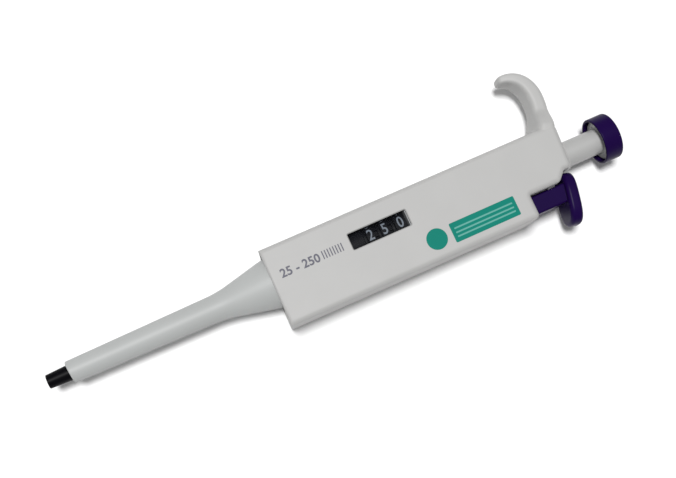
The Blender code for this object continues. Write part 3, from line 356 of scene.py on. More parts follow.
def loft(rings: list[list[Vector]], capped: bool = True, looped: bool = False) -> bmesh.types.BMesh:
    """Skin a row of rings with equal numbers of points.

    Args:
        rings: the rings in order; a ring of one point is a pole.
        capped: close the first and the last ring.
        looped: join the last ring to the first.

    Returns:
        The skinned mesh.
    """
    bm = bmesh.new()
    made = [[bm.verts.new(p) for p in ring] for ring in rings]
    pairs = list(zip(made, made[1:]))
    if looped:
        pairs.append((made[-1], made[0]))
    for one, two in pairs:
        count = max(len(one), len(two))
        for k in range(count):
            n = (k + 1) % count
            corners = [one[k % len(one)], one[n % len(one)], two[n % len(two)], two[k % len(two)]]
            bm.faces.new(list(dict.fromkeys(corners)))
    if capped and not looped:
        for ring in (made[0], made[-1]):
            if len(ring) > 2:
                bm.faces.new(ring)
    bmesh.ops.recalc_face_normals(bm, faces=bm.faces)
    return bm


def lathe(profile: list[Point], sides: int = 96, closed: bool = True) -> bmesh.types.BMesh:
    """Turn a profile about the axis.

    Args:
        profile: points of station and radius.
        sides: segments round the axis.
        closed: the profile is a loop; otherwise it starts and ends on the axis.

    Returns:
        The turned mesh.
    """
    rings = []
    for x, r in profile:
        if r == 0.0:
            rings.append([Vector((x, 0.0, 0.0))])
            continue
        rings.append([around(x, 0.0, 0.0, r, math.tau * k / sides) for k in range(sides)])
    return loft(rings, capped=False, looped=closed)


def prism(outline: list[Point], low: float, high: float, along_x: bool = False) -> bmesh.types.BMesh:
    """Extrude an outline along Z, or along X.

    Args:
        outline: points in X and Y, or in Y and Z.
        low: first station.
        high: last station.
        along_x: the outline is in Y and Z.

    Returns:
        The mesh.
    """
    def point(a: float, b: float, c: float) -> Vector:
        """One corner."""
        return Vector((c, a, b)) if along_x else Vector((a, b, c))
    return loft([[point(a, b, low) for a, b in outline], [point(a, b, high) for a, b in outline]])


def rectangle(low: Point, high: Point, radius: float = 0.0, steps: int = 4) -> list[Point]:
    """Outline of a rectangle between two corners, with its corners rounded."""
    return rounded([low, (high[0], low[1]), high, (low[0], high[1])], [radius] * 4, steps)


def box(low: Triple, high: Triple) -> bmesh.types.BMesh:
    """A plain block, as a cutter."""
    return prism(rectangle(low[:2], high[:2]), low[2], high[2])


def rod(start: float, end: float, radius: float) -> bmesh.types.BMesh:
    """A plain rod about the axis, as a cutter."""
    return lathe([(start, 0.0), (start, radius), (end, radius), (end, 0.0)], closed=False)


def linked(name: str, data: bpy.types.ID) -> bpy.types.Object:
    """Put data into the scene.

    Args:
        name: the object's name.
        data: its mesh, curve, light or camera.

    Returns:
        The object.
    """
    made = bpy.data.objects.new(name, data)
    bpy.context.scene.collection.objects.link(made)
    return made


def as_object(name: str, bm: bmesh.types.BMesh) -> bpy.types.Object:
    """Turn a bmesh in the axis frame into a linked object.

    Args:
        name: the object's name.
        bm: the mesh, which is freed.

    Returns:
        The object.
    """
    mesh = bpy.data.meshes.new(name)
    bm.to_mesh(mesh)
    bm.free()
    return linked(name, mesh)


def evaluated(obj: bpy.types.Object) -> bpy.types.Mesh:
    """A new mesh of what an object and its modifiers make."""
    return bpy.data.meshes.new_from_object(obj.evaluated_get(bpy.context.evaluated_depsgraph_get()))


def figures(text: str, settings: dict) -> bpy.types.Mesh:
    """Plain figures as a mesh in the XY plane.

    Args:
        text: the figures.
        settings: attributes of the text curve.

    Returns:
        The mesh.
    """
    curve = bpy.data.curves.new("figures", "FONT")
    curve.body = text
    for key, value in settings.items():
        setattr(curve, key, value)
    mark = linked("figures", curve)
    mesh = evaluated(mark)
    bpy.data.objects.remove(mark)
    return mesh


def bake(obj: bpy.types.Object) -> bpy.types.Object:
    """Replace an object's mesh by what its modifiers make, and drop them.

    Args:
        obj: the object.

    Returns:
        The same object.
    """
    mesh = evaluated(obj)
    obj.modifiers.clear()
    obj.data = mesh
    return obj


def boolean(target: bpy.types.Object, other: bmesh.types.BMesh, operation: str = "DIFFERENCE") -> None:
    """Cut a mesh from an object, or unite the two.

    Args:
        target: the object, changed in place.
        other: the other mesh.
        operation: DIFFERENCE or UNION.
    """
    tool = as_object("tool", other)
    modifier = target.modifiers.new("tool", "BOOLEAN")
    modifier.operation = operation
    modifier.solver = "EXACT"
    modifier.object = tool
    bake(target)
    bpy.data.objects.remove(tool)


def shade(obj: bpy.types.Object, angle: float = 32.0) -> None:
    """Smooth shading with weighted normals and sharp edges past an angle.

    Args:
        obj: the object.
        angle: in degrees.
    """
    obj.data.shade_smooth()
    obj.data.set_sharp_from_angle(angle=math.radians(angle))
    weighted = obj.modifiers.new("weighted", "WEIGHTED_NORMAL")
    weighted.keep_sharp = True
    bake(obj)


def finished(obj: bpy.types.Object, finish: Finishes, body: str, replaced: tuple[str, ...] = (),
             smooth: bool = True) -> bpy.types.Object:
    """Give a piece its place, finish and body.

    Args:
        obj: the piece, still in the axis frame.
        finish: its finish.
        body: the body it rides on.
        replaced: CAD nodes it stands for.
        smooth: shade it smooth here.

    Returns:
        The piece.
    """
    if smooth:
        shade(obj)
    obj.data.transform(Matrix.Translation(ORIGIN))
    obj.data.materials.clear()
    obj.data.materials.append(finish.value.material())
    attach(obj, body)
    if replaced:
        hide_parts(*replaced)
    LOG.info("%s on %s, %d faces", obj.name, body, len(obj.data.polygons))
    return obj


# Geometry Nodes recipes

class Recipe:
    """A Geometry Nodes tree with named inputs, run on one object."""

    def __init__(self, name: str, inputs: dict[str, str]) -> None:
        """Start the tree.

        Args:
            name: its name.
            inputs: input name to socket type.
        """
        self.tree = bpy.data.node_groups.new(name, "GeometryNodeTree")
        self.graph = Graph(self.tree)
        interface = self.tree.interface
        interface.new_socket("Geometry", in_out="INPUT", socket_type="NodeSocketGeometry")
        for key, kind in inputs.items():
            interface.new_socket(key, in_out="INPUT", socket_type=kind)
        interface.new_socket("Geometry", in_out="OUTPUT", socket_type="NodeSocketGeometry")
        self.source = self.graph.node("NodeGroupInput")
        self.sink = self.graph.node("NodeGroupOutput")

    def wire(self, name: str) -> Wire:
        """One of the tree's inputs."""
        return self.graph.wire(self.source, name)

    def close(self, geometry: Wire) -> None:
        """End the tree in Realize Instances and Set Material.

        Args:
            geometry: what the tree has made.
        """
        real = self.graph.node("GeometryNodeRealizeInstances", None, {0: geometry})
        dressed = self.graph.node("GeometryNodeSetMaterial", None,
                                  {"Geometry": real.outputs[0], "Material": self.wire("Material")})
        self.tree.links.new(dressed.outputs[0], self.sink.inputs[0])

    def run(self, obj: bpy.types.Object, values: dict) -> bpy.types.Object:
        """Run the tree on an object and keep the plain mesh.

        Args:
            obj: the object.
            values: input name to value.

        Returns:
            The same object.
        """
        modifier = obj.modifiers.new(self.tree.name, "NODES")
        modifier.node_group = self.tree
        for item in self.tree.interface.items_tree:
            if item.item_type == "SOCKET" and item.in_out == "INPUT" and item.name in values:
                modifier[item.identifier] = values[item.name]
        return bake(obj)


def wire_recipe() -> Recipe:
    """A tree that gives a line of edges the body of a wire.

    Returns:
        The recipe.
    """
    made = Recipe("wound_wire", {"Wire Radius": "NodeSocketFloat", "Sides": "NodeSocketInt",
                                 "Material": "NodeSocketMaterial"})
    graph = made.graph
    line = graph.node("GeometryNodeMeshToCurve", None, {0: made.wire("Geometry")})
    ring = graph.node("GeometryNodeCurvePrimitiveCircle", None,
                      {"Resolution": made.wire("Sides"), "Radius": made.wire("Wire Radius")})
    body = graph.node("GeometryNodeCurveToMesh", None,
                      {"Curve": line.outputs[0], "Profile Curve": ring.outputs[0], "Fill Caps": True})
    made.close(graph.wire(body))
    return made


def repeat_recipe() -> Recipe:
    """A tree that sets a template object on every point of a mesh.

    Returns:
        The recipe.
    """
    made = Recipe("set_on_points", {"Template": "NodeSocketObject", "Material": "NodeSocketMaterial"})
    graph = made.graph
    template = graph.node("GeometryNodeObjectInfo", None, {"Object": made.wire("Template")})
    copies = graph.node("GeometryNodeInstanceOnPoints", None,
                        {"Points": made.wire("Geometry"), "Instance": template.outputs["Geometry"]})
    made.close(graph.wire(copies))
    return made


def line_object(name: str, points: list[Vector], joined: bool) -> bpy.types.Object:
    """An object of bare points, or of a line through them.

    Args:
        name: its name.
        points: the points.
        joined: join each point to the next.

    Returns:
        The object.
    """
    mesh = bpy.data.meshes.new(name)
    edges = [(i, i + 1) for i in range(len(points) - 1)] if joined else []
    mesh.from_pydata(points, edges, [])
    return linked(name, mesh)


def wound(name: str, points: list[Vector], radius: float, sides: int, finish: Finishes) -> bpy.types.Object:
    """Wind a wire along a line.

    Args:
        name: the object's name.
        points: points of the line.
        radius: radius of the wire.
        sides: sides of the wire.
        finish: its finish.

    Returns:
        The wire.
    """
    made = line_object(name, points, True)
    return wire_recipe().run(made, {"Wire Radius": radius, "Sides": sides,
                                    "Material": finish.value.material()})


def repeated(name: str, points: list[Vector], template: bpy.types.Object,
             finish: Finishes) -> bpy.types.Object:
    """Set a template on points, and remove the template.

    Args:
        name: the object's name.
        points: the points.
        template: what is repeated.
        finish: its finish.

    Returns:
        The copies, as one object.
    """
    made = line_object(name, points, False)
    repeat_recipe().run(made, {"Template": template, "Material": finish.value.material()})
    bpy.data.objects.remove(template)
    return made


# Sub-assemblies

@dataclass
class Housing:
    """Moulded housing with its finger hook and every opening."""

    start: float = 89.9 * MM
    shoulder: float = 191.9 * MM
    top: float = 213.2 * MM
    half_depth: float = 12.0 * MM
    face_sink: float = 0.05 * MM
    hook_side: float = 12.1 * MM
    eject_side: float = 19.1 * MM
    neck_side: float = 9.9 * MM
    draft: float = 0.6 * MM
    wall: float = 1.3 * MM
    over: float = 1.0 * MM
    corner_radii: Sizes = mm(0.0, 1.7, -0.5, 3.0, -0.5, 2.4, 2.4, 0.0)  # negative at an inner corner
    least_radius: float = 0.15 * MM
    edge: float = 2.2 * MM
    edge_steps: int = 9
    mouth_edge: float = 0.5 * MM
    mouth_round: float = 1.3 * MM
    mouth_lip: float = 1.4 * MM
    notch: Sizes = mm(8.2, 3.6, 3.4)  # length, depth, slope
    top_lean: float = 1.4 * MM
    collar: Sizes = mm(8.2, 5.95, 1.5)  # foot radius, top radius, height
    collar_steps: int = 12
    window: Sizes = mm(121.3, 144.7, -1.8, 4.0)  # lower and upper end, ejector side, hook side
    window_round: float = 0.45 * MM
    window_chamfer: float = 0.35 * MM
    gap: float = 0.3 * MM
    lens_round: float = 0.4 * MM
    lens_depth: Sizes = mm(10.85, 11.85)
    stem_bore: float = 5.375 * MM
    bush_r: float = 7.2 * MM
    bush_end: float = 199.1 * MM
    slot: Sizes = mm(-17.8, -9.9, 5.8)  # far and near side, half depth
    slot_start: float = 176.0 * MM
    slot_round: float = 0.8 * MM
    pocket: Sizes = mm(199.527, -5.875)  # lower end, floor
    pocket_half: float = 8.05 * MM
    hook_root: Sizes = mm(208.5, 7.5)
    hook_bend: Sizes = mm(213.4, 25.6)
    hook_tip: Sizes = mm(204.6, 37.05)
    root_pull: Point = (0.48, 0.34)  # handles of the two curves, as shares
    bend_pull: Point = (0.37, 0.59)
    tip_pull: Point = (0.57, -0.04)
    hook_stations: int = 34
    hook_thick: Sizes = mm(7.8, 6.5, 3.6)  # at the neck, the bend and the tip
    hook_taper: float = 1.5
    hook_width: Sizes = mm(23.8, 12.0, 8.5)  # at the neck, the bend and the tip
    hook_flare: float = 8.0 * MM
    hook_sides: int = 40
    hook_square: float = 0.5
    # Rings that close the hook: how far past its tip, and how large, as shares.
    hook_end: tuple[Point, ...] = ((0.16, 0.97), (0.3, 0.86), (0.41, 0.66), (0.48, 0.36))
    hook_end_width: float = 0.4
    fillet: float = 2.6 * MM
    fillet_share: float = 0.4

    def casing(self) -> bmesh.types.BMesh:
        """Outside of the wide body and the neck, with its edges rounded.

        Returns:
            The closed form.
        """
        length, cut, slope = self.notch
        corner = cut - self.neck_side
        corners = [
            (self.start, self.draft - self.eject_side), (self.shoulder, -self.eject_side),
            (self.shoulder, -self.neck_side),
            (self.top - length, -self.neck_side), (self.top - length + slope, corner),
            (self.top - self.top_lean, corner), (self.top, self.hook_side), (self.start, self.hook_side),
        ]
        front = self.half_depth - self.face_sink
        near, far = [], []
        for k in range(self.edge_steps + 1):
            turn = math.pi / 2 * k / self.edge_steps
            depth = self.edge * (1 - math.cos(turn))
            level = self.edge * (1 - math.sin(turn))
            near_end = round_over(self.mouth_round, depth) - self.mouth_lip
            far_end = round_over(self.mouth_edge, depth)
            near_outline = self.layer(corners, level, near_end)
            far_outline = self.layer(corners, level, far_end)
            near.append([Vector((x, y, front - depth)) for x, y in near_outline])
            far.append([Vector((x, y, depth - self.half_depth)) for x, y in far_outline])
        return loft(near + far[::-1])

    def layer(self, corners: list[Point], level: float, end: float) -> list[Point]:
        """The casing's outline, moved inwards and rounded. A negative radius marks an inner corner.

        Args:
            corners: corners of the full outline.
            level: how far its long sides move in.
            end: how far its mouth, the last side, moves in.

        Returns:
            The points of the moved outline.
        """
        moved = inset(corners, [level] * (len(corners) - 1) + [end])
        arcs = [max(abs(r) + math.copysign(level, -r), self.least_radius) if r else 0.0
                for r in self.corner_radii]
        return rounded(moved, arcs)

    def hook(self) -> bmesh.types.BMesh:
        """Finger hook, flared where it grows out of the neck, with a rounded tip.

        Returns:
            The closed form.
        """
        spine = self.hook_spine()
        last = len(spine) - 1
        root_thick, bend_thick, tip_thick = self.hook_thick
        root_width, bend_width, tip_width = self.hook_width
        rings = []
        for i, point in enumerate(spine):
            ahead = spine[min(i + 1, last)] - spine[max(i - 1, 0)]
            out = Vector((ahead.y, -ahead.x)).normalized()
            share = i / last
            first, second = min(share * 2, 1.0), max(share * 2 - 1, 0.0)
            thick = root_thick + (bend_thick - root_thick) * first * (2 - first)
            thick += (tip_thick - bend_thick) * second ** self.hook_taper
            fillet = self.fillet * max(0.0, 1 - first / self.fillet_share) ** 2
            flare = min(max((point.y - self.hook_side) / self.hook_flare, 0.0), 1.0)
            flare = (1 - flare) ** 2 * (1 + 2 * flare)
            width = bend_width + (root_width - bend_width) * flare + (tip_width - bend_width) * second ** 2
            rings.append(self.section(point, out, thick, fillet, width))
        along = (spine[last] - spine[last - 1]).normalized()
        for reach, size in self.hook_end:
            point = spine[last] + along * (tip_thick * reach)
            width = tip_width * (self.hook_end_width + (1 - self.hook_end_width) * size)
            rings.append(self.section(point, out, tip_thick * size, 0.0, width))
        return loft(rings)

    def hook_spine(self) -> list[Vector]:
        """Middle line of the hook, as two Bezier curves that meet at the bend.

        Returns:
            Its points in X and Y, from the neck to the tip.
        """
        root, bend, tip = (Vector(p) for p in (self.hook_root, self.hook_bend, self.hook_tip))
        rise, reach = bend.y - root.y, tip.y - bend.y
        from_root = root + Vector((self.root_pull[0] * (bend.x - root.x), self.root_pull[1] * rise))
        to_bend = bend - Vector((0.0, self.bend_pull[0] * rise))
        from_bend = bend + Vector((0.0, self.bend_pull[1] * reach))
        to_tip = tip + Vector((self.tip_pull[0] * (bend.x - tip.x), self.tip_pull[1] * reach))
        lower = interpolate_bezier(root, from_root, to_bend, bend, self.hook_stations)
        upper = interpolate_bezier(bend, from_bend, to_tip, tip, self.hook_stations)
        return [Vector(p[:2]) for p in [*lower, *upper[1:]]]

    def section(self, point: Vector, out: Vector, thick: float, fillet: float, width: float) -> list[Vector]:
        """One superellipse section of the hook.

        Args:
            point: spine point in X and Y.
            out: unit direction of its thickness.
            thick: thickness.
            fillet: how much the finger side is widened.
            width: width along Z.

        Returns:
            The section's points.
        """
        ring = []
        for k in range(self.hook_sides):
            angle = math.tau * (k + 0.5) / self.hook_sides
            a = powered(math.cos(angle), self.hook_square)
            b = powered(math.sin(angle), self.hook_square)
            place = point + out * (a * (thick / 2 if a > 0 else thick / 2 + fillet))
            ring.append(Vector((place.x, place.y, b * width / 2)))
        return ring

    def build(self) -> None:
        """Make the shell, cut its cavity, window, bores and slots, and set the lens."""
        shell = as_object("housing_shell", self.casing())
        boolean(shell, self.hook(), "UNION")
        boolean(shell, self.top_collar(), "UNION")
        side = self.half_depth - self.wall
        end = self.shoulder - self.wall
        above = self.top + self.collar[2] + self.over
        low, high, half = self.slot
        pocket_start, pocket_floor = self.pocket
        for cutter in (
            box((self.start - self.mouth_lip - self.over, self.wall - self.eject_side, -side),
                (end, self.hook_side - self.wall, side)),
            prism(self.opening(self.gap, self.window_round), side - self.over, self.half_depth + self.over),
            self.chamfer(),
            rod(end - self.over, self.bush_end, self.bush_r),
            rod(end - self.over, above, self.stem_bore),
            prism(rectangle((low, -half), (high, half), self.slot_round), self.slot_start,
                  self.shoulder + self.over, along_x=True),
            box((pocket_start, -self.neck_side - self.over, -self.pocket_half),
                (above, pocket_floor, self.pocket_half)),
        ):
            boolean(shell, cutter)
        finished(shell, Finishes.BODY, "casing", ("housing",))
        plate = prism(self.opening(0.0, self.lens_round), *self.lens_depth)
        finished(as_object("counter_lens", plate), Finishes.LENS, "casing", ("window_lens",))

    def top_collar(self) -> bmesh.types.BMesh:
        """Collar on the top face that curves up to the stem.

        Returns:
            The closed form.
        """
        foot, top, height = self.collar
        profile = [(self.top - self.wall, 0.0), (self.top - self.wall, foot)]
        for k in range(self.collar_steps + 1):
            turn = math.pi / 2 * k / self.collar_steps
            profile.append((self.top + height * (1 - math.cos(turn)), foot - (foot - top) * math.sin(turn)))
        profile.append((self.top + height, 0.0))
        return lathe(profile, closed=False)

    def opening(self, grown: float, radius: float) -> list[Point]:
        """Outline of the window, grown on every side, with rounded corners."""
        x0, x1, y0, y1 = self.window
        return rectangle((x0 - grown, y0 - grown), (x1 + grown, y1 + grown), radius)

    def chamfer(self) -> bmesh.types.BMesh:
        """Cutter that softens the window's edge.

        Returns:
            The cutter.
        """
        front = self.half_depth - self.face_sink
        rings = []
        for height, grown in ((-self.window_chamfer, 0.0), (self.gap, self.window_chamfer + self.gap)):
            outline = self.opening(self.gap + grown, self.window_round + grown)
            rings.append([Vector((x, y, front + height)) for x, y in outline])
        return loft(rings)


@dataclass
class Printing:
    """Plain marks printed on the front face: the volume range and a teal band."""

    face: float = 11.95 * MM
    ink: float = 0.03 * MM
    text: str = "25 - 250"
    text_x: float = 92.4 * MM
    text_y: float = -0.9 * MM
    text_size: float = 4.6 * MM
    text_space: float = 1.02
    text_weight: float = 0.12 * MM
    marks: Sizes = mm(109.4, 117.2)  # first and last station
    mark_count: int = 8
    mark_size: Sizes = mm(0.42, 3.2)  # width, height
    mark_lift: float = 0.1 * MM
    disc: Sizes = mm(151.3, -10.9, 4.1)  # middle in X and Y, radius
    disc_sides: int = 64
    band: Sizes = mm(157.6, 185.0, -15.2, -7.5)  # lower and upper end, both sides
    band_round: float = 0.5 * MM
    lines: Sizes = mm(-9.9, -11.6, -13.2)
    line_margin: float = 1.4 * MM
    line_half: float = 0.3 * MM
    line_round: float = 0.2 * MM

    def build(self) -> None:
        """Make every mark."""
        self.range_text()
        self.scale()
        self.teal()

    def slab(self, name: str, outline: list[Point], finish: Finishes, lift: float = 0.0) -> None:
        """Print a thin patch on the face, lifted above the first layer."""
        bm = prism(outline, self.face - self.ink, self.face + self.ink * 0.5 + lift)
        finished(as_object(name, bm), finish, "casing", smooth=False)

    def range_text(self) -> None:
        """The volume range in plain numbers."""
        mesh = figures(self.text, {"size": self.text_size, "space_character": self.text_space,
                                   "offset": self.text_weight, "extrude": self.ink * 0.5, "resolution_u": 4})
        mesh.transform(Matrix.Translation((self.text_x, self.text_y, self.face)))
        finished(linked("range_numbers", mesh), Finishes.PRINT, "casing", smooth=False)

    def scale(self) -> None:
        """A short row of upright marks after the numbers."""
        start, end = self.marks
        low = self.text_y + self.mark_lift
        points = [Vector((start + (end - start) * i / (self.mark_count - 1), low, self.face - self.ink * 0.5))
                  for i in range(self.mark_count)]
        mark = as_object("mark", box((0.0, 0.0, 0.0), (*self.mark_size, self.ink)))
        made = repeated("range_marks", points, mark, Finishes.PRINT)
        finished(made, Finishes.PRINT, "casing", smooth=False)

    def teal(self) -> None:
        """A plain disc and a plain band with paler lines."""
        x, y, r = self.disc
        turns = [math.tau * i / self.disc_sides for i in range(self.disc_sides)]
        self.slab("teal_disc", [(x + r * math.cos(a), y + r * math.sin(a)) for a in turns], Finishes.TEAL)
        x0, x1, y0, y1 = self.band
        self.slab("teal_band", rectangle((x0, y0), (x1, y1), self.band_round), Finishes.TEAL)
        for i, y in enumerate(self.lines):
            line = rectangle((x0 + self.line_margin, y - self.line_half),
                             (x1 - self.line_margin, y + self.line_half), self.line_round, 3)
            self.slab(f"teal_line_{i + 1}", line, Finishes.PALE_TEAL, self.ink * 0.3)


@dataclass
class Counter:
    """Digit drums behind the window, with their gears and the blank first ring."""

    first: float = 121.3 * MM
    pitch: float = 5.85 * MM
    length: float = 5.55 * MM
    radius: float = 8.2 * MM
    disc_r: float = 6.4 * MM
    disc: float = 1.0 * MM
    gear: float = 1.35 * MM
    bore: float = 4.8 * MM
    ring_edge: float = 0.2 * MM
    drum_edge: float = 0.15 * MM
    teeth: int = 20
    module: float = 0.73 * MM
    tooth_tip: Sizes = mm(0.5, 0.2)  # rise over the pitch circle, half width
    tooth_foot: Sizes = mm(0.62, 0.5)  # depth under the pitch circle, half width
    gear_overlap: float = 0.3 * MM
    digit_height: float = 4.3 * MM
    digit_size: float = 1.42
    digit_squeeze: float = 0.82
    digit_weight: float = 0.06 * MM
    digit_step: int = 36
    digit_rows: int = 8
    digit_cuts: int = 5
    ink: float = 0.02 * MM
    eye_angle: float = 6.3

    def build(self) -> None:
        """Make the drums, showing 250."""
        start, end = self.first, self.first + self.length
        ring = rounded([(start, self.bore), (start, self.radius), (end, self.radius), (end, self.bore)],
                       [0.0, self.ring_edge, self.ring_edge, 0.0], 4)
        finished(as_object("blank_ring", lathe(ring)), Finishes.DRUM, "casing", ("counter_spacer",))
        for slot, name, shown in ((1, "hundreds", 2), (2, "tens", 5), (3, "units", 0)):
            start = self.first + slot * self.pitch
            gear = 0.0 if name == "units" else self.gear
            self.drum(start, name, gear)
            self.digits(start, name, shown, gear)

    def drum(self, start: float, name: str, gear: float) -> None:
        """One drum with its carry disc and gear.

        Args:
            start: station of its lower end.
            name: its name.
            gear: length of the gear at its upper end, if it has one.
        """
        end = start + self.length
        last = end - gear
        soft = self.drum_edge
        profile = rounded([(start, self.bore), (start, self.disc_r), (start + self.disc, self.disc_r),
                           (start + self.disc, self.radius), (last, self.radius), (last, self.bore)],
                          [0.0, soft, 0.0, soft, soft, 0.0], 3)
        made = as_object(f"{name}_wheel_drum", lathe(profile))
        if gear:
            boolean(made, self.gear_ring(last - self.gear_overlap, end), "UNION")
            boolean(made, rod(last - MM, end + MM, self.bore))
        finished(made, Finishes.DRUM, f"{name}_wheel", (f"{name}_drum",))

    def gear_ring(self, start: float, end: float) -> bmesh.types.BMesh:
        """Gear of a drum, with a tooth on the line to the pinions.

        Args:
            start: station of its lower end.
            end: station of its upper end.

        Returns:
            The gear, not yet bored.
        """
        low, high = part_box("tens_pinion")
        centre = (low + high) / 2 - ORIGIN
        phase = math.atan2(centre.z, centre.y)
        pitch_r = self.module * self.teeth / 2
        (rise, tip_half), (sink, foot_half) = self.tooth_tip, self.tooth_foot
        flank = ((pitch_r - sink, foot_half), (pitch_r + rise, tip_half))
        outline = []
        for i in range(self.teeth):
            angle = phase + math.tau * i / self.teeth
            for radius, half in (*((r, -h) for r, h in flank), *reversed(flank)):
                turn = angle + half / radius
                outline.append((radius * math.cos(turn), radius * math.sin(turn)))
        return prism(outline, start, end, along_x=True)

    def digits(self, start: float, name: str, shown: int, gear: float) -> None:
        """Ten digits printed round a drum.

        Args:
            start: station of the drum's lower end.
            name: the drum's name.
            shown: digit in the window at rest.
            gear: length of the drum's gear.
        """
        middle = start + self.disc + (self.length - self.disc - gear) / 2
        bm = bmesh.new()
        for digit in range(10):
            self.digit(bm, digit, middle, math.radians(self.digit_step * (shown - digit) - self.eye_angle))
        finished(as_object(f"{name}_digits", bm), Finishes.DIGIT, f"{name}_wheel", smooth=False)

    def digit(self, bm: bmesh.types.BMesh, digit: int, middle: float, turn: float) -> None:
        """Bend one digit onto the drum.

        Args:
            bm: mesh that takes it.
            digit: the digit.
            middle: station of its middle.
            turn: angle of its middle from the front towards the ejector's side.
        """
        mesh = figures(str(digit), {"size": self.digit_height * self.digit_size, "offset": self.digit_weight,
                                    "align_x": "CENTER", "align_y": "CENTER", "resolution_u": 5})
        flat = bmesh.new()
        flat.from_mesh(mesh)
        for i in range(-self.digit_cuts, self.digit_cuts + 1):
            row = self.digit_height * i / self.digit_rows
            bmesh.ops.bisect_plane(flat, geom=[*flat.verts, *flat.edges, *flat.faces],
                                   plane_co=(0.0, row, 0.0), plane_no=(0.0, 1.0, 0.0))
        radius = self.radius + self.ink
        for vert in flat.verts:
            angle = turn - vert.co.y / radius
            vert.co = Vector((middle + vert.co.x * self.digit_squeeze, -radius * math.sin(angle),
                              radius * math.cos(angle)))
        flat.to_mesh(mesh)
        flat.free()
        bm.from_mesh(mesh)


@dataclass
class Plunger:
    """Button cap and its stem."""

    stem_start: float = 192.0 * MM
    stem_r: float = 5.075 * MM
    stem_bore: float = 3.99 * MM
    stem_gap: float = 0.3 * MM
    stem_edges: Sizes = mm(0.1, 0.4, 0.9, 0.5, 0.3, 0.0, 0.3, 0.0, 0.0, 0.3)  # corner by corner from the bore
    vent_r: float = 0.6 * MM
    vent_length: float = 1.2 * MM
    flange_r: float = 8.0 * MM
    flange_rise: float = 1.6 * MM
    flange_thick: float = 1.8 * MM
    cap_start: float = 228.9 * MM
    cap_end: float = 236.6 * MM
    cap_r: float = 9.3 * MM
    cap_wall: float = 1.0 * MM
    cap_edges: Sizes = mm(0.0, 0.4, 0.25, 0.4, 1.1, 0.0)  # corner by corner from the axis

    def build(self) -> None:
        """Make the stem and the cap."""
        flange = self.cap_start + self.flange_rise
        rim = flange + self.flange_thick
        top = self.cap_end - self.cap_wall - self.stem_gap
        ceiling = top - self.vent_length
        stem = rounded([
            (self.stem_start, self.stem_bore), (self.stem_start, self.stem_r), (flange, self.stem_r),
            (flange, self.flange_r), (rim, self.flange_r), (rim, self.stem_r),
            (top, self.stem_r), (top, self.vent_r), (ceiling, self.vent_r), (ceiling, self.stem_bore),
        ], self.stem_edges, 6)
        finished(as_object("plunger_stem", lathe(stem)), Finishes.STEM, "button", ("button_stem",))
        inner = self.cap_r - self.cap_wall
        floor = self.cap_end - self.cap_wall
        cap = rounded([
            (floor, 0.0), (floor, inner), (self.cap_start, inner), (self.cap_start, self.cap_r),
            (self.cap_end, self.cap_r), (self.cap_end, 0.0),
        ], self.cap_edges, 8)
        made = as_object("thumb_cap", lathe(cap, 128, closed=False))
        finished(made, Finishes.PURPLE, "button", ("button_cap",))


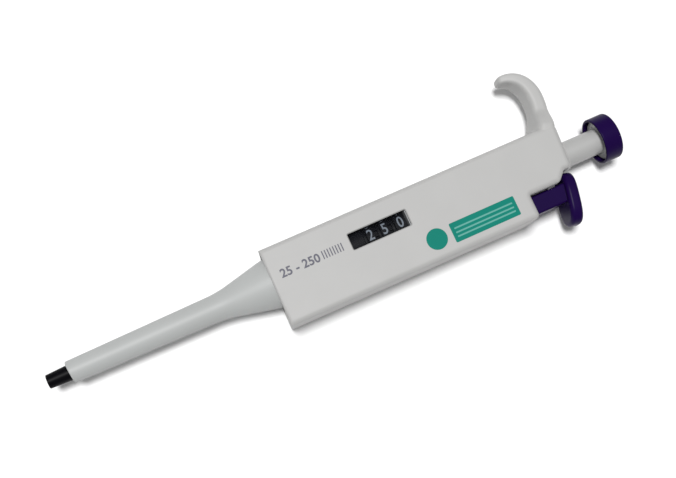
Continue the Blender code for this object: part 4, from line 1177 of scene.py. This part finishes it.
@dataclass
class Shaft:
    """Tip cone and the long sleeve over the shaft."""

    tip_r: float = 2.65 * MM
    tip_base_r: float = 3.0 * MM
    tip_exposed: float = 8.0 * MM
    tip_bore: float = 0.7 * MM
    tip_edges: Sizes = mm(0.15, 0.3, 0.0, 0.2, 0.0, 0.1, 0.0)  # corner by corner from the bore
    seat_start: float = 12.0 * MM
    seat_end: float = 24.0 * MM
    seat_r: float = 2.05 * MM
    sleeve_start: float = 8.0 * MM
    slant: float = 0.9 * MM
    slant_fade: float = 4.0 * MM
    mouth_round: float = 0.65 * MM
    mouth_steps: int = 6
    mouth_land: float = 2.0 * MM
    sleeve_r: float = 4.35 * MM
    neck_r: float = 5.15 * MM
    flare: float = 68.3 * MM
    flare_half: float = 5.0 * MM
    taper_steps: int = 20
    bend_steps: int = 12
    rim: float = 89.6 * MM
    rim_r: float = 9.9 * MM
    rim_land: Sizes = mm(3.0, 2.6)  # length, drop
    rim_edge: float = 0.6 * MM
    wall: float = 0.8 * MM
    skirt_r: float = 8.6 * MM
    skirt_end: float = 112.0 * MM
    skirt_wall: float = 0.75 * MM
    lug: Sizes = mm(6.0, 16.05, 3.0)  # length, reach, half width
    lug_seat: float = 0.4 * MM

    def build(self) -> None:
        """Make the cone and the sleeve."""
        cone = rounded([(0.0, self.tip_bore), (0.0, self.tip_r), (self.tip_exposed, self.tip_base_r),
                        (self.seat_start, self.tip_base_r), (self.seat_start, self.seat_r),
                        (self.seat_end, self.seat_r), (self.seat_end, self.tip_bore)], self.tip_edges, 5)
        finished(as_object("nose_cone", lathe(cone, 80)), Finishes.TIP, "casing", ("tip_cone",))
        self.sleeve()

    def sleeve(self) -> None:
        """Sleeve with its slanted end, skirt and lug."""
        bm = lathe(self.outside() + self.inside())
        shear = self.slant / (2 * self.sleeve_r)
        for vert in bm.verts:
            fade = max(0.0, 1 - (vert.co.x - self.sleeve_start) / self.slant_fade)
            vert.co.x += shear * (self.sleeve_r - vert.co.y) * fade
        made = as_object("ejector_tube", bm)
        length, reach, half = self.lug
        boolean(made, box((self.skirt_end - length, -reach, -half),
                          (self.skirt_end, self.lug_seat - self.skirt_r, half)), "UNION")
        finished(made, Finishes.SLEEVE, "ejector", ("ejector_sleeve",))

    def slope(self) -> float:
        """How steeply the sleeve widens past its flare."""
        return (self.rim_r - self.neck_r) / (self.rim - self.flare)

    def outside(self) -> list[Point]:
        """Outer profile of the sleeve: round mouth, slow taper, soft flare and rim.

        Returns:
            Its points of station and radius.
        """
        slope, soft, half = self.slope(), self.mouth_round, self.flare_half
        mouth = [(self.sleeve_start + soft * (1 - math.cos(a)), self.sleeve_r - soft * (1 - math.sin(a)))
                 for a in (math.pi / 2 * i / self.mouth_steps for i in range(self.mouth_steps))]
        first, steps = self.sleeve_start + soft, self.taper_steps
        taper = [(first + (self.flare - half - first) * i / steps,
                  self.sleeve_r + (self.neck_r - self.sleeve_r) * i / steps) for i in range(steps + 1)]
        bend = [(self.flare + half * t, self.neck_r + slope * half * (t + 1) ** 2 / 4)
                for t in (2 * i / self.bend_steps - 1 for i in range(1, self.bend_steps + 1))]
        land, drop = self.rim_land
        rim = rounded([(self.rim - land, self.rim_r - slope * drop), (self.rim, self.rim_r),
                       (self.rim, self.skirt_r)], [0.0, self.rim_edge, 0.0], 6)
        return mouth + taper + bend + rim

    def inside(self) -> list[Point]:
        """Skirt and bore of the sleeve.

        Returns:
            Their points of station and radius.
        """
        skirt_bore = self.skirt_r - self.skirt_wall
        full = self.flare + (skirt_bore - self.neck_r + self.wall) / self.slope()
        bore = self.sleeve_r - self.wall
        return [(self.skirt_end, self.skirt_r), (self.skirt_end, skirt_bore), (full, skirt_bore),
                (self.flare, self.neck_r - self.wall), (self.sleeve_start + self.mouth_land, bore),
                (self.sleeve_start, bore)]


@dataclass
class Ejector:
    """Ejector button: its square stem and the tilted thumb pad."""

    start: float = 185.0 * MM
    high: float = -10.2 * MM
    low: float = -17.5 * MM
    half: float = 5.5 * MM
    stem_round: float = 0.8 * MM
    pad: Sizes = mm(208.8, -16.8)  # station and Y of its middle
    pad_length: float = 21.0 * MM
    pad_width: float = 15.5 * MM
    pad_thick: float = 5.0 * MM
    pad_round: float = 1.6 * MM
    pad_square: float = 0.7
    pad_steps: int = 8
    pad_sides: int = 64
    tilt: float = 13.0

    def build(self) -> None:
        """Make the button as one piece."""
        outline = rectangle((self.low, -self.half), (self.high, self.half), self.stem_round, 5)
        made = as_object("ejector_thumb_button", prism(outline, self.start, self.pad[0], along_x=True))
        boolean(made, self.thumb_pad(), "UNION")
        finished(made, Finishes.PURPLE, "ejector", ("ejector_button",))

    def thumb_pad(self) -> bmesh.types.BMesh:
        """Pad with full corners and a round rim, tilted.

        Returns:
            The closed form.
        """
        turns = [math.pi / 2 * i / self.pad_steps for i in range(self.pad_steps + 1)]
        profile = [(self.pad_round * (1 - math.cos(a)) - self.pad_thick / 2,
                    self.pad_round * (1 - math.sin(a))) for a in turns]
        profile += [(-x, margin) for x, margin in reversed(profile)]
        centre = Vector((*self.pad, 0.0))
        tilt = Matrix.Rotation(-math.radians(self.tilt), 4, "Z")
        rings = []
        for x, margin in profile:
            ring = []
            for k in range(self.pad_sides):
                angle = math.tau * (k + 0.5) / self.pad_sides
                y = powered(math.sin(angle), self.pad_square) * (self.pad_length / 2 - margin)
                z = powered(math.cos(angle), self.pad_square) * (self.pad_width / 2 - margin)
                ring.append(centre + tilt @ Vector((x, y, z)))
            rings.append(ring)
        return loft(rings)


@dataclass(frozen=True)
class Coil:
    """One spring: its CAD node, radii of coil and wire, turns, joint, and its own travel if that is less."""

    node: str
    coil_r: float
    wire_r: float
    turns: int
    joint: str
    travel: float = 0.0


@dataclass
class Springs:
    """Return, blow-out and ejector springs as wound wire."""

    coils: tuple[Coil, ...] = (
        Coil("return_spring", 3.8 * MM, 0.3 * MM, 11, "plunger_press"),
        Coil("blowout_spring", 5.05 * MM, 0.35 * MM, 7, "plunger_press", 3.2 * MM),
        Coil("ejector_spring", 2.3 * MM, 0.3 * MM, 8, "ejector_press"),
    )
    closed_turn: float = 2.1
    loop_steps: int = 28
    wire_sides: int = 10

    def build(self) -> None:
        """Wind each spring in the box of its CAD node."""
        for coil in self.coils:
            low, high = (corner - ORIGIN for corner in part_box(coil.node))
            made = wound(f"{coil.node}_wire", self.winding(coil, low, high), coil.wire_r, self.wire_sides,
                         Finishes.STEEL)
            made.data.shade_smooth()
            finished(made, Finishes.STEEL, "casing", (coil.node,), smooth=False)
            joint = next(j for j in frame["joints"] if j["name"] == coil.joint)
            keep = 1 - (coil.travel or joint["range_m"][1]) / (high.x - low.x)
            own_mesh(made)

    def winding(self, coil: Coil, low: Vector, high: Vector) -> list[Vector]:
        """Centre line of a spring's wire, with a closed turn at each end.

        Args:
            coil: the spring.
            low: lowest corner of its CAD node.
            high: highest corner of it.

        Returns:
            The line's points.
        """
        start, end = low.x + coil.wire_r, high.x - coil.wire_r
        middle = (low + high) / 2
        closed = self.closed_turn * coil.wire_r
        rise = (end - start - 2 * closed) / (coil.turns - 2)
        points = []
        for i in range(coil.turns * self.loop_steps + 1):
            turn = i / self.loop_steps
            if turn < 1:
                x = start + closed * turn
            elif turn > coil.turns - 1:
                x = end - closed * (coil.turns - turn)
            else:
                x = start + closed + rise * (turn - 1)
            points.append(around(x, middle.y, middle.z, coil.coil_r, math.tau * turn))
        return points


@dataclass
class Drive:
    """Threaded volume spindle and the small screws."""

    thread_pitch: float = 0.5 * MM
    thread_length: float = 44.0 * MM
    thread_margin: float = 0.5 * MM
    thread_ridge: float = 0.18 * MM
    thread_sink: float = 0.02 * MM
    thread_steps: int = 24
    spindle_bore: float = 2.3 * MM
    spindle_neck: float = 3.3 * MM
    screw_head: float = 0.9 * MM
    screw_head_r: float = 1.5 * MM
    screw_r: float = 0.9 * MM
    # Points of the head's dome: depth, and share of its radius.
    screw_dome: tuple[Point, ...] = ((0.0, 0.72), (0.12 * MM, 0.86), (0.42 * MM, 1.0))
    recess: Sizes = mm(0.85, 0.16)  # half length and half width of an arm
    recess_depth: float = 0.55 * MM
    recess_over: float = 0.2 * MM

    def build(self) -> None:
        """Make the spindle and the screws."""
        self.spindle()
        for name, count in (("cover_screw", 2), ("chassis_screw", 4)):
            self.screws(name, [f"{name}_{i + 1}" for i in range(count)])

    def spindle(self) -> None:
        """Brass spindle, plainly bored, with its fine thread as a wound ridge."""
        low, high = (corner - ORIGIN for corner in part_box("spindle"))
        core = (high.z - low.z) / 2 - self.thread_ridge
        bore, neck = self.spindle_bore, self.spindle_neck
        thread_end = low.x + self.thread_length
        made = as_object("threaded_spindle", lathe([(low.x, bore), (low.x, core), (thread_end, core),
                                                    (thread_end, neck), (high.x, neck), (high.x, bore)], 48))
        turns = int((thread_end - low.x - 2 * self.thread_margin) / self.thread_pitch)
        points = [around(low.x + self.thread_margin + i / self.thread_steps * self.thread_pitch, 0.0, 0.0,
                         core - self.thread_sink, math.tau * (i / self.thread_steps))
                  for i in range(turns * self.thread_steps + 1)]
        ridge = wound("spindle_thread", points, self.thread_ridge, 4, Finishes.BRASS)
        finished(ridge, Finishes.BRASS, "volume_spindle", smooth=False)
        finished(made, Finishes.BRASS, "volume_spindle", ("spindle",))

    def screws(self, name: str, nodes: list[str]) -> None:
        """A set of like cross-head screws, as one piece.

        Args:
            name: name of one screw.
            nodes: the CAD nodes that they stand for.
        """
        boxes = [[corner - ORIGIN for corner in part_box(node)] for node in nodes]
        points = [Vector((low.x, (low.y + high.y) / 2, (low.z + high.z) / 2)) for low, high in boxes]
        low, high = boxes[-1]
        made = repeated(f"{name}s", points, self.screw(high.x - low.x), Finishes.STEEL)
        finished(made, Finishes.STEEL, "casing", tuple(nodes))

    def screw(self, length: float) -> bpy.types.Object:
        """One screw with a cross recess.

        Args:
            length: from the top of its head to its point.

        Returns:
            The screw, with its head at the origin.
        """
        profile = [(0.0, 0.0), *((x, self.screw_head_r * share) for x, share in self.screw_dome),
                   (self.screw_head, self.screw_head_r), (self.screw_head, self.screw_r),
                   (length - self.screw_r, self.screw_r), (length, 0.0)]
        made = as_object("screw", lathe(profile, 32, closed=False))
        for wide, tall in (self.recess, self.recess[::-1]):
            boolean(made, box((-self.recess_over, -wide, -tall), (self.recess_depth, wide, tall)))
        return made


@dataclass
class Studio:
    """Camera, pale floor and soft light. The camera's places are in millimetres from the end of the cone."""

    lens: float = 58.38
    sensor: float = 36.0
    eye: Triple = (53.64, -44.48, 410.0)
    target: Triple = (119.14, 5.52, 0.0)
    roll: float = 23.6
    clip: float = 10.0 * MM
    floor_size: float = 60.0
    floor_sink: float = 0.02 * MM
    floor_cloud: float = 40.0 * MM
    floor_tones: Point = (0.93, 0.95)
    floor_roughness: float = 0.9
    floor_specular: float = 0.1
    surround: float = 0.25
    key_side: Triple = (-0.12, 0.1, 1.0)
    key_angle: float = 15.0
    key_power: float = 3.1

    def build(self) -> None:
        """Set up the camera, the floor and the lights."""
        self.camera()
        self.floor()
        self.lights()

    def camera(self) -> None:
        """Camera at the photograph's angle."""
        eye, target = (ORIGIN + Vector(place) * MM for place in (self.eye, self.target))
        ahead = (target - eye).normalized()
        along = Vector((1.0, 0.0, 0.0))
        along = (along - ahead * along.dot(ahead)).normalized()
        across = (-ahead).cross(along)
        angle = math.radians(self.roll)
        right = along * math.cos(angle) - across * math.sin(angle)
        up = along * math.sin(angle) + across * math.cos(angle)
        data = bpy.data.cameras.new("camera")
        data.lens = self.lens
        data.sensor_width = self.sensor
        data.clip_start = self.clip
        made = linked("camera", data)
        made.matrix_world = Matrix.Translation(eye) @ Matrix((right, up, -ahead)).transposed().to_4x4()
        bpy.context.scene.camera = made

    def floor(self) -> None:
        """Pale floor that the pipette lies on."""
        bm = bmesh.new()
        bmesh.ops.create_grid(bm, x_segments=1, y_segments=1, size=self.floor_size)
        made = as_object("floor", bm)
        material = bpy.data.materials.new("pale_floor")
        material.use_nodes = True
        graph = Graph(material.node_tree)
        shader = material.node_tree.nodes["Principled BSDF"]
        darker, lighter = ((tone,) * 3 for tone in self.floor_tones)
        tone = graph.colours(graph.noise(self.floor_cloud), darker, lighter)
        graph.tree.links.new(tone.socket, shader.inputs["Base Color"])
        shader.inputs["Roughness"].default_value = self.floor_roughness
        shader.inputs["Specular IOR Level"].default_value = self.floor_specular
        made.data.materials.append(material)
        made.location.z = -self.floor_sink

    def lights(self) -> None:
        """A soft surround and one large light from above, a little from the hook's side."""
        world = bpy.data.worlds.new("studio")
        bpy.context.scene.world = world
        world.use_nodes = True
        background = world.node_tree.nodes["Background"]
        background.inputs["Color"].default_value = (1.0, 1.0, 1.0, 1.0)
        background.inputs["Strength"].default_value = self.surround
        data = bpy.data.lights.new("key", "SUN")
        data.angle = math.radians(self.key_angle)
        data.energy = self.key_power
        made = linked("key", data)
        made.rotation_mode = "QUATERNION"
        made.rotation_quaternion = (-Vector(self.key_side)).to_track_quat("-Z", "Y")
        bpy.context.scene.view_settings.view_transform = "Standard"


def dress_cad_nodes() -> None:
    """Give each carried-over CAD node its finish."""
    for name, finish in CAD_FINISHES.items():
        node = frame["nodes"][name]
        node.data.materials.clear()
        node.data.materials.append(finish.value.material())
        LOG.info("%s keeps its shape", name)


def main() -> None:
    """Build and dress every sub-assembly, then the studio."""
    logging.basicConfig(level=logging.INFO, format="%(message)s")
    dress_cad_nodes()
    for part in (Housing(), Printing(), Counter(), Plunger(), Shaft(), Ejector(), Springs(), Drive(),
                 Studio()):
        part.build()
        LOG.info("%s done", type(part).__name__)


if __name__ == "__main__":
    main()
